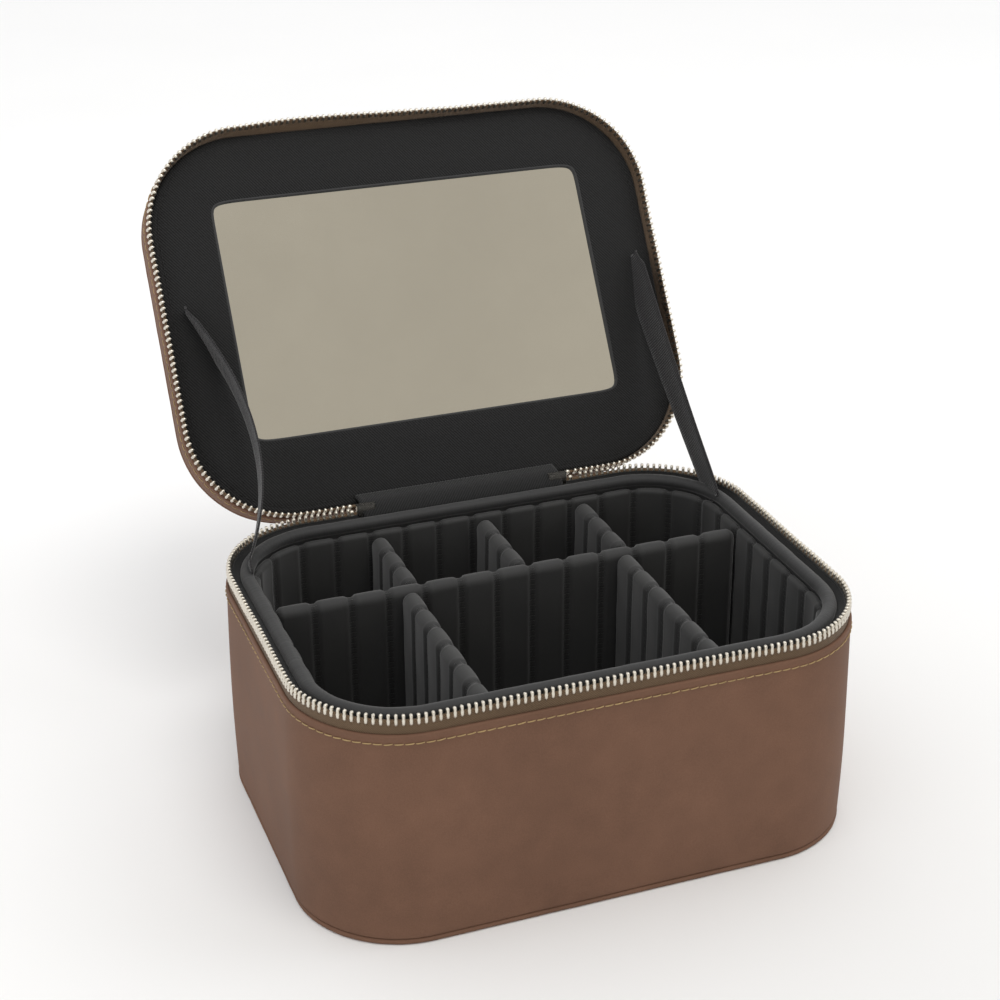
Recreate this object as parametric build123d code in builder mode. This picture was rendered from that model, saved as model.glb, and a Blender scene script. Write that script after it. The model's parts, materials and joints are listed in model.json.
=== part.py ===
from build123d import *
import os
from math import cos, radians, sin

# Makeup train case, open. Millimetres. +X to the right, +Y to the back, +Z up.
# The origin is the centre of the footprint, on the surface that the case stands on.
# Every wall is placed by its inset: how far it lies in from the outline of the case.

# --- overall sizes -----------------------------------------------------------
case_width = 300.0
case_depth = 224.0
corner_radius = 58.0
base_height = 129.0          # floor to the parting line of the zipper
lid_height = 32.0            # parting line to the top of the lid
open_angle = 122.4           # lid swing from closed to held by its stay straps
foot_tighter = 2.0           # corner radius lost between the rim and the foot

# --- gaps ----------------------------------------------------------------------
parting_gap = 0.4            # between the two zipper chains of the closed case
body_gap = 0.3               # between pieces that move on one another
seat_gap = 0.1               # between pieces that are sewn or glued together
hinge_gap = 0.5              # hinge axis behind the back face

# --- outer shell -----------------------------------------------------------------
leather = 1.2
board = 2.5
welt_radius = 1.6
welt_proud = 0.2             # how far the welt stands out of the walls
bottom_board_inset = 4.0
tape = 0.8
tape_reach = 5.5             # parting line to the edge of the zipper tape
tape_hem = 14.0              # tape sewn in behind the leather
leather_reach = 9.5          # parting line to the folded edge of the leather
chain_thick = 2.8
chain_start = 66.0           # the chain ends this far from the middle of the back
binding = 1.0
binding_drop = 18.0          # parting line to the sewn edge of the binding
end_stop = 1.6               # length of the clamp that ends each chain

# --- inside of the base -----------------------------------------------------------
padding = 5.6
sleeve = 3.2
ribbed_wall = 5.0
padding_drop = 12.0          # parting line to the top of the padding
sleeve_drop = 8.2
ribbed_wall_drop = 8.5
piping_radius = 3.4
floor_pad_thick = 5.0
divider_thick = 10.0
divider_drop = 10.0
divider_round_share = 0.44    # radius of its top edges, as a share of its thickness
long_divider_y = 31.0
front_divider_x = (-60.0, 63.0)
back_divider_x = (-56.0, 6.0, 66.0)

# --- inside of the lid ------------------------------------------------------------
lining_drop = 9.0            # parting line to the face of the lining panel
lining = 1.2
mirror_width = 222.0
mirror_height = 139.0
mirror_round = 5.0
mirror_offset = -3.0         # mirror centre from the lid's centre, towards the hinge
mirror_lap = 4.0             # glass held behind the lining all round
mirror_thick = 1.8
mirror_board = 1.4
pad_over_board = 1.0         # clearance of the lid's foam behind the mirror board

# --- hinge and stay straps ---------------------------------------------------------
hinge_half = 50.0
hinge_fold_low = 2.0         # folds of the hinge lining, above the hinge axis
hinge_fold_high = 4.0
strap_width = 20.0
strap_thick = 1.2
strap_inset = 14.2
strap_base_y = 68.0          # where the strap leaves the rim
strap_lid_reach = 123.0      # along the lid, from the hinge axis
strap_slack = 20.0           # bow of the left strap
strap_root_inset = 5.0       # the strap's sewn end, in the groove of the rim
strap_root_length = 28.0

# --- zipper sliders and pulls ---------------------------------------------------------
slider_length = 11.0
slider_x = 58.0
slider_rise = 7.6
slider_half = 2.1
slider_round = 1.2
crown_width = 3.0
crown_reach = 5.2
crown_height = 5.2
crown_round = 1.0
crown_drop = 3.4             # top of the slider to the top of its crown
crown_wall = 0.7             # metal between the pull's hole and the crown's back
pull_wire = 0.8
pull_clearance = 0.35
pull_loop_width = 9.0
pull_loop_length = 9.5
pull_loop_round = 1.6
pull_overlap = 2.0           # leather past the loop's lower bar
pull_neck = 4.0
pull_neck_gap = 0.5
pull_round = 2.0
pull_width = 11.0
pull_length = 30.0
pull_thick = 2.4

# --- carry handle ------------------------------------------------------------------------
handle_span = 124.0
handle_axis_rise = 3.4       # pivot above the top of the lid
chape_width = 24.0
chape_length = 42.0
chape_thick = 2.0
chape_round = 5.0
chape_loop_width = 15.0
chape_rivet_radius = 2.4
chape_rivet_head = 0.9
chape_rivet_edge = 6.0       # rivet centre to the end of the chape
ring_wire = 1.4
ring_width = 21.0
ring_length = 11.0
ring_clearance = 0.3
ring_round = 2.1
loop_start = 0.125           # share of a ring's loop, on the straight beside its pivot
grip_radius = 6.0
grip_drop = 24.0
grip_bend = 18.0
grip_end_width = 13.0
grip_end_radius = 4.2

# --- derived places --------------------------------------------------------------------------
tilt = radians(open_angle)
hinge_y = case_depth / 2 + hinge_gap
hinge_z = base_height
board_inset = leather
tape_inset = leather
binding_inset = tape_inset + tape + 2 * seat_gap
padding_inset = board_inset + board + 2 * seat_gap
sleeve_inset = padding_inset + padding + seat_gap
ribbed_inset = sleeve_inset + sleeve + 2 * seat_gap
inner_inset = ribbed_inset + ribbed_wall
piping_inset = sleeve_inset + sleeve / 2
welt_inset = welt_radius - welt_proud
leather_top = base_height - leather_reach
tape_edge = base_height - tape_reach
board_top = base_height - binding_drop
wall_foot = 2 * welt_radius + seat_gap
floor_top = wall_foot + board + seat_gap
pad_top = floor_top + floor_pad_thick

# The lid is drawn closed, on planes that its swing then carries to the open place.
lid_normal = Vector(0, sin(tilt), cos(tilt))
lid_back = Vector(0, cos(tilt), -sin(tilt))
lid_centre = Vector(0, hinge_y, hinge_z) - lid_back * hinge_y
strap_root_z = base_height - padding_drop + seat_gap
piping_level = base_height - sleeve_drop + seat_gap + piping_radius
strap_base_z = piping_level + piping_radius + body_gap


def base_level(height):
    """The horizontal plane that lies that far above the floor."""
    return Plane.XY.offset(height)


def lid_level(height):
    """The plane across the lid that lies that far from the parting line, towards the top."""
    return Plane(origin=lid_centre + lid_normal * height, x_dir=(1, 0, 0), z_dir=lid_normal)


def outline(inset, mode=Mode.ADD):
    """The rounded rectangle of the case, that far in from its outer face."""
    width = case_width - 2 * inset
    depth = case_depth - 2 * inset
    RectangleRounded(width, depth, corner_radius - inset, mode=mode)


def shell_outline(inset, height):
    """The outline of the base's outer shell at that height: its corners tighten towards the foot."""
    low_share = 1 - height / leather_top
    width = case_width - 2 * inset
    depth = case_depth - 2 * inset
    RectangleRounded(width, depth, corner_radius - inset - foot_tighter * low_share)


def shell_block(low, high, inset, mode=Mode.ADD):
    """The solid between the outer shell's outlines at two heights."""
    with BuildSketch(base_level(low)) as foot:
        shell_outline(inset, low)
    with BuildSketch(base_level(high)) as head:
        shell_outline(inset, high)
    loft([foot.sketch.face(), head.sketch.face()], ruled=True, mode=mode)


def slab(level, inset, thick):
    """A flat sheet with the outline of the case."""
    with BuildSketch(level) as sheet:
        outline(inset)
    extrude(sheet.sketch, amount=thick)


def wall(level, inset, thick, height):
    """An upright wall that follows the outline of the case."""
    with BuildSketch(level) as ring:
        outline(inset)
        outline(inset + thick, Mode.SUBTRACT)
    extrude(ring.sketch, amount=height)


def cord_around(level, inset, radius, tighter=0):
    """A round cord laid along the outline of the case, its corners that much tighter."""
    with BuildSketch(level) as track:
        RectangleRounded(case_width - 2 * inset, case_depth - 2 * inset, corner_radius - inset - tighter)
    path = track.sketch.faces()[0].outer_wire()
    with BuildSketch(Plane(origin=path @ 0, x_dir=level.z_dir, z_dir=path % 0)) as section:
        Circle(radius)
    sweep(section.sketch, path=path)


def open_back(level, half_width, height):
    """Cuts a wall away across the middle of the back."""
    with BuildSketch(level) as gap:
        with Locations((0, case_depth / 2)):
            Rectangle(2 * half_width, corner_radius)
    extrude(gap.sketch, amount=height, mode=Mode.SUBTRACT)


def save(piece, name):
    """Labels a finished piece and writes it to its own file."""
    piece.part.label = name
    export_step(piece.part, f"parts/{name}.step")


os.makedirs("parts", exist_ok=True)

# =============================== base: outer shell ===============================
with BuildPart() as base_leather_wall:
    shell_block(wall_foot, leather_top, 0)
    shell_block(wall_foot, leather_top, leather, Mode.SUBTRACT)
save(base_leather_wall, "base_leather_wall")

with BuildPart() as base_bottom_leather:
    slab(base_level(0), bottom_board_inset, leather)
save(base_bottom_leather, "base_bottom_leather")

with BuildPart() as bottom_welt:
    cord_around(base_level(welt_radius), welt_inset, welt_radius, foot_tighter)
save(bottom_welt, "bottom_welt")

with BuildPart() as base_bottom_board:
    shell_block(wall_foot, wall_foot + board, board_inset + board + seat_gap)
save(base_bottom_board, "base_bottom_board")

with BuildPart() as base_side_board:
    shell_block(wall_foot, board_top, board_inset)
    shell_block(wall_foot, board_top, board_inset + board, Mode.SUBTRACT)
save(base_side_board, "base_side_board")

with BuildPart() as base_zipper_tape:
    wall(base_level(board_top + seat_gap), tape_inset, tape, tape_edge - board_top - seat_gap)
save(base_zipper_tape, "base_zipper_tape")

chain_inset = tape_inset + tape / 2 - chain_thick / 2
chain_height = tape_reach - parting_gap / 2
with BuildPart() as base_zipper_teeth:
    wall(base_level(tape_edge), chain_inset, chain_thick, chain_height)
    open_back(base_level(tape_edge), chain_start, chain_height)
save(base_zipper_teeth, "base_zipper_teeth")


def end_stops(level):
    """The two clamps that close off a chain, one at each end."""
    with BuildSketch(level) as stops:
        for stop_x in (-chain_start + end_stop, chain_start - end_stop):
            with Locations((stop_x, case_depth / 2 - tape_inset - tape / 2)):
                Rectangle(end_stop, chain_thick)
    extrude(stops.sketch, amount=chain_height)


with BuildPart() as base_end_stops:
    end_stops(base_level(tape_edge))
save(base_end_stops, "base_end_stops")

binding_top = tape_edge - seat_gap
with BuildPart() as base_rim_binding:
    wall(base_level(board_top + seat_gap), binding_inset, binding, binding_top - board_top - seat_gap)
save(base_rim_binding, "base_rim_binding")

# =============================== base: inside ===============================
with BuildPart() as base_wall_padding:
    shell_block(floor_top, base_height - padding_drop, padding_inset)
    with BuildSketch(base_level(floor_top)) as hollow:
        outline(padding_inset + padding)
    extrude(hollow.sketch, amount=base_height, mode=Mode.SUBTRACT)
save(base_wall_padding, "base_wall_padding")

with BuildPart() as inner_sleeve:
    wall(base_level(floor_top), sleeve_inset, sleeve, base_height - sleeve_drop - floor_top)
save(inner_sleeve, "inner_sleeve")

with BuildPart() as base_piping:
    cord_around(base_level(piping_level), piping_inset, piping_radius)
save(base_piping, "base_piping")

with BuildPart() as floor_pad:
    slab(base_level(floor_top), ribbed_inset, floor_pad_thick)
save(floor_pad, "floor_pad")

with BuildPart() as ribbed_wall_lining:
    ribbed_wall_height = base_height - ribbed_wall_drop - pad_top
    wall(base_level(pad_top + seat_gap), ribbed_inset, ribbed_wall, ribbed_wall_height)
save(ribbed_wall_lining, "ribbed_wall_lining")

# =============================== lift-out dividers ===============================
inner_half_width = case_width / 2 - inner_inset
inner_half_depth = case_depth / 2 - inner_inset
divider_foot = pad_top + body_gap
divider_height = base_height - divider_drop - divider_foot


def divider_slab(centre_x, centre_y, width, depth):
    """A padded partition with a rounded top, standing on the floor pad."""
    with BuildSketch(base_level(divider_foot)) as footprint:
        with Locations((centre_x, centre_y)):
            Rectangle(width, depth)
    extrude(footprint.sketch, amount=divider_height)
    along = Axis.X if width > depth else Axis.Y
    top_edges = edges().filter_by(along).group_by(Axis.Z)[-1]
    fillet(top_edges, divider_round_share * divider_thick)


with BuildPart() as long_divider:
    divider_slab(0, long_divider_y, 2 * (inner_half_width - body_gap), divider_thick)
save(long_divider, "long_divider")

front_near = -inner_half_depth + body_gap
front_far = long_divider_y - divider_thick / 2 - body_gap
back_near = long_divider_y + divider_thick / 2 + body_gap
back_far = inner_half_depth - body_gap
cross_dividers = {
    "front_divider_left": (front_divider_x[0], front_near, front_far),
    "front_divider_right": (front_divider_x[1], front_near, front_far),
    "back_divider_left": (back_divider_x[0], back_near, back_far),
    "back_divider_middle": (back_divider_x[1], back_near, back_far),
    "back_divider_right": (back_divider_x[2], back_near, back_far),
}
for name, (centre_x, near_y, far_y) in cross_dividers.items():
    with BuildPart() as cross_divider:
        divider_slab(centre_x, (near_y + far_y) / 2, divider_thick, far_y - near_y)
    save(cross_divider, name)

# =============================== lid: outer shell ===============================
lid_welt_height = lid_height - welt_radius
lid_top_inset = welt_inset + welt_radius + seat_gap
lid_wall_top = lid_height - 2 * welt_radius - seat_gap
lid_board_height = lid_height - leather - seat_gap - board

with BuildPart() as lid_leather_wall:
    wall(lid_level(leather_reach), 0, leather, lid_wall_top - leather_reach)
save(lid_leather_wall, "lid_leather_wall")

with BuildPart() as lid_leather_top:
    slab(lid_level(lid_height - leather), lid_top_inset, leather)
save(lid_leather_top, "lid_leather_top")

with BuildPart() as lid_welt:
    cord_around(lid_level(lid_welt_height), welt_inset, welt_radius)
save(lid_welt, "lid_welt")

with BuildPart() as lid_top_board:
    slab(lid_level(lid_board_height), lid_top_inset, board)
save(lid_top_board, "lid_top_board")

with BuildPart() as lid_side_board:
    wall(lid_level(tape_hem + seat_gap), board_inset, board, lid_board_height - tape_hem - 2 * seat_gap)
save(lid_side_board, "lid_side_board")

with BuildPart() as lid_zipper_tape:
    wall(lid_level(tape_reach), tape_inset, tape, tape_hem - tape_reach)
save(lid_zipper_tape, "lid_zipper_tape")

with BuildPart() as lid_zipper_teeth:
    wall(lid_level(parting_gap / 2), chain_inset, chain_thick, chain_height)
    open_back(lid_level(parting_gap / 2), chain_start, chain_height)
save(lid_zipper_teeth, "lid_zipper_teeth")

with BuildPart() as lid_end_stops:
    end_stops(lid_level(parting_gap / 2))
save(lid_end_stops, "lid_end_stops")

# =============================== lid: lining and mirror ===============================
glass_width = mirror_width + 2 * mirror_lap
glass_height = mirror_height + 2 * mirror_lap
glass_level = lining_drop + lining + seat_gap
mirror_board_level = glass_level + mirror_thick + seat_gap
foam_level = lining_drop + lining + seat_gap
foam_top = lid_board_height - seat_gap


def mirror_sheet(level, grow, thick, mode=Mode.ADD):
    """A rounded sheet centred on the mirror, larger than its window by that much all round."""
    with BuildSketch(level) as sheet:
        with Locations((0, mirror_offset)):
            RectangleRounded(mirror_width + 2 * grow, mirror_height + 2 * grow, mirror_round)
    extrude(sheet.sketch, amount=thick, mode=mode)


with BuildPart() as lid_lining_panel:
    slab(lid_level(lining_drop), binding_inset, lining)
    mirror_sheet(lid_level(lining_drop), 0, lining, Mode.SUBTRACT)
save(lid_lining_panel, "lid_lining_panel")

with BuildPart() as mirror_glass:
    mirror_sheet(lid_level(glass_level), mirror_lap, mirror_thick)
save(mirror_glass, "mirror_glass")

with BuildPart() as mirror_backing:
    mirror_sheet(lid_level(mirror_board_level), mirror_lap, mirror_board)
save(mirror_backing, "mirror_backing")

pocket_depth = mirror_board_level + mirror_board + pad_over_board - foam_level
with BuildPart() as lid_foam:
    slab(lid_level(foam_level), padding_inset, foam_top - foam_level)
    mirror_sheet(lid_level(foam_level), mirror_lap + pad_over_board, pocket_depth, Mode.SUBTRACT)
save(lid_foam, "lid_foam")


# =============================== hinge ===============================
def lid_point(inset, height):
    """The (y, z) of a point of the lid's back wall, that far in and that far from the parting line."""
    place = Vector(0, hinge_y, hinge_z) - lid_back * (hinge_gap + inset) + lid_normal * height
    return (place.Y, place.Z)


def hinge_band(points, bend, thick):
    """A strip across the middle of the back: a bent line given a thickness and a length along X."""
    with BuildSketch(Plane.YZ.offset(-hinge_half)) as band:
        with BuildLine():
            FilletPolyline(*points, radius=bend)
        trace(line_width=thick)
    extrude(band.sketch, amount=2 * hinge_half)


outer_face = case_depth / 2 - leather / 2
with BuildPart() as hinge_leather:
    hinge_band(
        [
            (outer_face, leather_top + seat_gap),
            (outer_face, hinge_z + leather),
            lid_point(leather / 2, leather_reach - seat_gap),
        ],
        leather,
        leather,
    )
save(hinge_leather, "hinge_leather")

binding_face = case_depth / 2 - binding_inset - binding / 2
with BuildPart() as hinge_lining:
    hinge_band(
        [
            (binding_face, binding_top + seat_gap),
            (binding_face, hinge_z + hinge_fold_low),
            (hinge_y, hinge_z + hinge_fold_high),
            lid_point(binding_inset + binding / 2, lining_drop - seat_gap - binding / 2),
        ],
        binding,
        binding,
    )
save(hinge_lining, "hinge_lining")

# =============================== stay straps ===============================
strap_top = Vector(0, hinge_y, hinge_z) - lid_back * strap_lid_reach + lid_normal * (lining_drop - body_gap)
strap_foot = Vector(0, strap_base_y, strap_base_z)
strap_run = strap_top - strap_foot


def strap_band(side, slack):
    """A strap from the groove of the rim to the lid's lining, bowed inwards by its slack."""
    foot = strap_foot + Vector(side * (case_width / 2 - strap_inset), 0, 0)
    along = strap_run.normalized()
    face = Plane(origin=foot, x_dir=along, z_dir=along.cross(Vector(-side, 0, 0)))
    length = strap_run.length
    with BuildSketch(face) as edge_on:
        with BuildLine():
            Line((-strap_width, 0), (0, 0))
            Spline((0, 0), (length / 2, slack), (length, 0), tangents=((1, 0), (1, 0)))
        trace(line_width=strap_thick)
    extrude(edge_on.sketch, amount=strap_width / 2, both=True)
    # the ends are cut level with the groove and with the face of the lining
    with BuildSketch(base_level(0)) as below:
        Rectangle(3 * case_width, 3 * case_width)
    extrude(below.sketch, amount=strap_base_z, mode=Mode.SUBTRACT)
    with BuildSketch(lid_level(lining_drop - body_gap)) as beyond:
        Rectangle(3 * case_width, 3 * case_width)
    extrude(beyond.sketch, amount=2 * strap_width, mode=Mode.SUBTRACT)
    # the sewn end follows the groove
    with BuildSketch(base_level(strap_root_z)) as root:
        outline(strap_root_inset)
        outline(strap_root_inset + strap_thick, Mode.SUBTRACT)
        with Locations((side * case_width / 2, strap_base_y)):
            Rectangle(case_width / 2, strap_root_length, mode=Mode.INTERSECT)
    extrude(root.sketch, amount=strap_base_z + strap_thick - strap_root_z)


with BuildPart() as stay_strap_right:
    strap_band(1, strap_thick)
save(stay_strap_right, "stay_strap_right")

with BuildPart() as stay_strap_left:
    strap_band(-1, strap_slack)
save(stay_strap_left, "stay_strap_left")

# =============================== zipper sliders and pulls ===============================
slider_y = case_depth / 2 - tape_inset - tape / 2
crown_back = slider_y + slider_half + crown_reach
crown_front = slider_y + crown_round
pull_y = crown_back - pull_wire - pull_clearance - crown_wall
pull_z = tape_edge + slider_rise - crown_height / 2 - crown_drop
pull_neck_width = pull_loop_width - 2 * pull_wire - 2 * pull_neck_gap


def across(plane_x):
    """The upright plane across X at that place, drawn in Y and Z."""
    return Plane.YZ.offset(plane_x)


for side, name in ((-1, "left"), (1, "right")):
    centre_x = side * slider_x
    with BuildPart() as slider:
        with BuildSketch(base_level(tape_edge)):
            with Locations((centre_x, slider_y)):
                RectangleRounded(slider_length, 2 * slider_half, slider_round)
        extrude(amount=slider_rise)
        with BuildSketch(across(centre_x - crown_width / 2)):
            with Locations(((crown_front + crown_back) / 2, pull_z)):
                RectangleRounded(crown_back - crown_front, crown_height, crown_round)
        extrude(amount=crown_width)
        with BuildSketch(across(centre_x - crown_width)):
            with Locations((pull_y, pull_z)):
                Circle(pull_wire + pull_clearance)
        extrude(amount=2 * crown_width, mode=Mode.SUBTRACT)
    save(slider, f"slider_{name}")

    loop_low = pull_z - pull_loop_length
    with BuildPart() as pull_ring:
        with BuildLine() as loop:
            FilletPolyline(
                (centre_x - pull_loop_width / 2, pull_y, pull_z),
                (centre_x + pull_loop_width / 2, pull_y, pull_z),
                (centre_x + pull_loop_width / 2, pull_y, loop_low),
                (centre_x - pull_loop_width / 2, pull_y, loop_low),
                close=True,
                radius=pull_loop_round,
            )
        with BuildSketch(Plane(origin=loop.line @ loop_start, z_dir=loop.line % loop_start)):
            Circle(pull_wire)
        sweep(path=loop.line)
    save(pull_ring, f"pull_ring_{name}")

    pull_top = loop_low + pull_overlap
    pull_low = pull_top - pull_length
    with BuildPart() as pull_tab:
        with BuildSketch(Plane.XZ.offset(-pull_y - pull_thick / 2)):
            with Locations((centre_x, pull_low + pull_length / 2)):
                RectangleRounded(pull_neck_width, pull_length, pull_round)
            with Locations((centre_x, pull_low + (pull_length - pull_neck) / 2)):
                RectangleRounded(pull_width, pull_length - pull_neck, pull_round)
        extrude(amount=pull_thick)
        with BuildSketch(across(centre_x - pull_width)):
            with Locations((pull_y, loop_low)):
                Circle(pull_wire)
        extrude(amount=2 * pull_width, mode=Mode.SUBTRACT)
    save(pull_tab, f"pull_tab_{name}")

# =============================== carry handle ===============================
handle_pivot = lid_centre + lid_normal * (lid_height + handle_axis_rise)
handle_y = handle_pivot.Y
handle_z = handle_pivot.Z
grip_end_z = handle_z - ring_length
chape_loop_radius = ring_wire + ring_clearance + chape_thick

for side, name in ((-1, "left"), (1, "right")):
    centre_x = side * handle_span / 2
    with BuildPart() as handle_tab:
        with BuildSketch(lid_level(lid_height)):
            with Locations((centre_x, 0)):
                RectangleRounded(chape_width, chape_length, chape_round)
        extrude(amount=chape_thick)
        loop_end = (centre_x - chape_loop_width / 2, handle_y, handle_z)
        with BuildSketch(Plane(origin=loop_end, z_dir=(1, 0, 0))):
            Circle(chape_loop_radius)
        extrude(amount=chape_loop_width)
        with BuildSketch(lid_level(lid_height - 2 * chape_loop_radius)):
            with Locations((centre_x, 0)):
                Rectangle(2 * chape_width, 2 * chape_length)
        extrude(amount=2 * chape_loop_radius, mode=Mode.SUBTRACT)
        with BuildSketch(Plane(origin=(centre_x - chape_width, handle_y, handle_z), z_dir=(1, 0, 0))):
            Circle(ring_wire + ring_clearance)
        extrude(amount=2 * chape_width, mode=Mode.SUBTRACT)
    save(handle_tab, f"handle_tab_{name}")

    with BuildPart() as handle_ring:
        with BuildLine() as loop:
            FilletPolyline(
                (centre_x - ring_width / 2, handle_y, handle_z),
                (centre_x + ring_width / 2, handle_y, handle_z),
                (centre_x + ring_width / 2, handle_y, grip_end_z),
                (centre_x - ring_width / 2, handle_y, grip_end_z),
                close=True,
                radius=ring_round,
            )
        with BuildSketch(Plane(origin=loop.line @ loop_start, z_dir=loop.line % loop_start)):
            Circle(ring_wire)
        sweep(path=loop.line)
    save(handle_ring, f"handle_ring_{name}")

with BuildPart() as handle_rivets:
    for side in (-1, 1):
        for end in (-1, 1):
            rivet_x = side * handle_span / 2
            rivet_y = end * (chape_length / 2 - chape_rivet_edge)
            with BuildSketch(lid_level(lid_height + chape_thick)):
                with Locations((rivet_x, rivet_y)):
                    Circle(chape_rivet_radius)
            extrude(amount=chape_rivet_head)
save(handle_rivets, "handle_rivets")

# The grip is a rolled handle: two short tabs round the rings, then a round roll between them.
grip_low = grip_end_z - grip_drop
with BuildPart() as handle_grip:
    with BuildLine() as roll:
        FilletPolyline(
            (-handle_span / 2, handle_y, grip_end_z - grip_end_radius),
            (-handle_span / 2, handle_y, grip_low),
            (handle_span / 2, handle_y, grip_low),
            (handle_span / 2, handle_y, grip_end_z - grip_end_radius),
            radius=grip_bend,
        )
    with BuildSketch(Plane(origin=roll.line @ 0, z_dir=roll.line % 0)):
        Circle(grip_radius)
    sweep(path=roll.line)
    for side in (-1, 1):
        end_x = side * handle_span / 2
        with BuildSketch(across(end_x - grip_end_width / 2)):
            with Locations((handle_y, grip_end_z)):
                Circle(grip_end_radius)
            with Locations((handle_y, grip_end_z - grip_end_radius)):
                Rectangle(2 * grip_end_radius, 2 * grip_end_radius)
        extrude(amount=grip_end_width)
        with BuildSketch(across(end_x - grip_end_width)):
            with Locations((handle_y, grip_end_z)):
                Circle(ring_wire)
        extrude(amount=2 * grip_end_width, mode=Mode.SUBTRACT)
save(handle_grip, "handle_grip")
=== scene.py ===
import json
import math

import bpy
import numpy as np
from mathutils import Matrix, Vector


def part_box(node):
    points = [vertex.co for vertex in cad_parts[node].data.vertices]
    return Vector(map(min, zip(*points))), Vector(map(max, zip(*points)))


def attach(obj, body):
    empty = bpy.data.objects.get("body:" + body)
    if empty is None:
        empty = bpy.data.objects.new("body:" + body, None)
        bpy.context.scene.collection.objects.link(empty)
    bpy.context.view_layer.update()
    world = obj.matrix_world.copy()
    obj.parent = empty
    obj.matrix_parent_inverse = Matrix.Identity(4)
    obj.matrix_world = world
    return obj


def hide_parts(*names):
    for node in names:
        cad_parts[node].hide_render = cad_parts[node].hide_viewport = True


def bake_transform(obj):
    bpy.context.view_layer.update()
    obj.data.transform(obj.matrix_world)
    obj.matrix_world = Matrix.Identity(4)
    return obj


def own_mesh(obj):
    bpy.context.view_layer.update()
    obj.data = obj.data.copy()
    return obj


# A makeup train case, open: the padded base with its dividers, and the lid with its mirror leaning back.
# Metres. A shell piece is drawn on the closed case, as a place on the rim (along), a distance in from the
# case's outer face (inset) and a height above the parting line of the zipper; the lid is then swung open.

mm = 0.001
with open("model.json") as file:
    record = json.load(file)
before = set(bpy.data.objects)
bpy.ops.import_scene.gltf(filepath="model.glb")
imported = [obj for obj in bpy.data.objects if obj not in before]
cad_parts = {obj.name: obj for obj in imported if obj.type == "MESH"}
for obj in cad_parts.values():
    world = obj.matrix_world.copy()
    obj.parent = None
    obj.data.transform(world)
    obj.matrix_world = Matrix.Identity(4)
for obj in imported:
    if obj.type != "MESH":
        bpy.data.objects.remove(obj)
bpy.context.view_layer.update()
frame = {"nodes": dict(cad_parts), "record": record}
record = frame["record"]
joints = {joint["name"]: joint for joint in record["behaviour"]["joints"]}

# --- places taken from the frame ------------------------------------------------------------
hinge = np.array(joints["lid_hinge"]["pos_m"])
open_angle = math.radians(-joints["lid_hinge"]["range_deg"][0])
handle_pivot = np.array(joints["handle_swing"]["pos_m"])
pull_pivots = {side: np.array(joints[side + "_pull_swing"]["pos_m"]) for side in ("left", "right")}
rim_z = hinge[2]

leather = 1.2 * mm
tape_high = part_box("base_zipper_tape")[1]
foot_low, foot_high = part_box("base_leather_wall")
half_width = tape_high.x + leather
half_depth = tape_high.y + leather
corner = 58 * mm
lid_height = 32 * mm
leather_edge = rim_z - foot_high.z          # parting line to the folded edge of the leather
pad_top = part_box("floor_pad")[1].z
liner_low, liner_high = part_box("ribbed_wall_lining")
chain_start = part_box("base_end_stops")[1].x + 0.8 * mm

# --- sizes of the details ---------------------------------------------------------------------
tooth_pitch = 3.5 * mm
tooth_reach = 0.9 * mm                      # how far a tooth passes the parting line
stop_drop = 0.3 * mm                        # how far a chain's end clamp stays short of it
chain_inset = 1.6 * mm                      # the middle of the tape's thickness
stitch_pitch = 5.0 * mm
stitch_drop = 4.6 * mm                      # folded edge of the leather to the row of stitches
channel_pitch = 20 * mm                     # sewn channels of the padded linings
channel_width = 3.6 * mm
channel_depth = 1.8 * mm
channel_top_dip = 1.1 * mm                  # how far a padded edge sinks in a groove
liner_back, liner_face = 13 * mm, 18 * mm   # insets of the padded wall's two sides
lining_drop = 9 * mm                        # parting line to the face of the lid's lining
mirror_half = np.array([111.0, 69.5]) * mm
mirror_middle = np.array([0.0, -3.0]) * mm
strap_half_wide = 10 * mm
strap_inset = 14.2 * mm
strap_foot_y = 68 * mm                      # where a strap leaves the rim
strap_reach = 123 * mm                      # along the lid, from the hinge to a strap's upper end
handle_half_span = 62 * mm                  # from the handle's middle to a tab's


# =============================== camera ===============================
def aim_camera(position, azimuth, elevation, roll, focal_length):
    """The camera, aimed by its compass direction, height angle and roll, in degrees."""
    a, e, r = (math.radians(angle) for angle in (azimuth, elevation, roll))
    back = Vector((math.sin(a) * math.cos(e), -math.cos(a) * math.cos(e), math.sin(e)))
    level_right = Vector((math.cos(a), math.sin(a), 0))
    level_up = back.cross(level_right)
    right = math.cos(r) * level_right + math.sin(r) * level_up
    up = -math.sin(r) * level_right + math.cos(r) * level_up
    data = bpy.data.cameras.new("camera")
    data.lens = focal_length
    data.sensor_width = 36
    data.clip_start = 0.02
    data.clip_end = 60
    camera = bpy.data.objects.new("camera", data)
    axes = Matrix((right, up, back)).transposed()
    camera.matrix_world = Matrix.Translation(position) @ axes.to_4x4()
    bpy.context.scene.collection.objects.link(camera)
    bpy.context.scene.camera = camera


aim_camera(Vector((-0.33987, -0.86316, 0.61373)), -20.42, 25.42, -0.25, 71.95)


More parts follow.
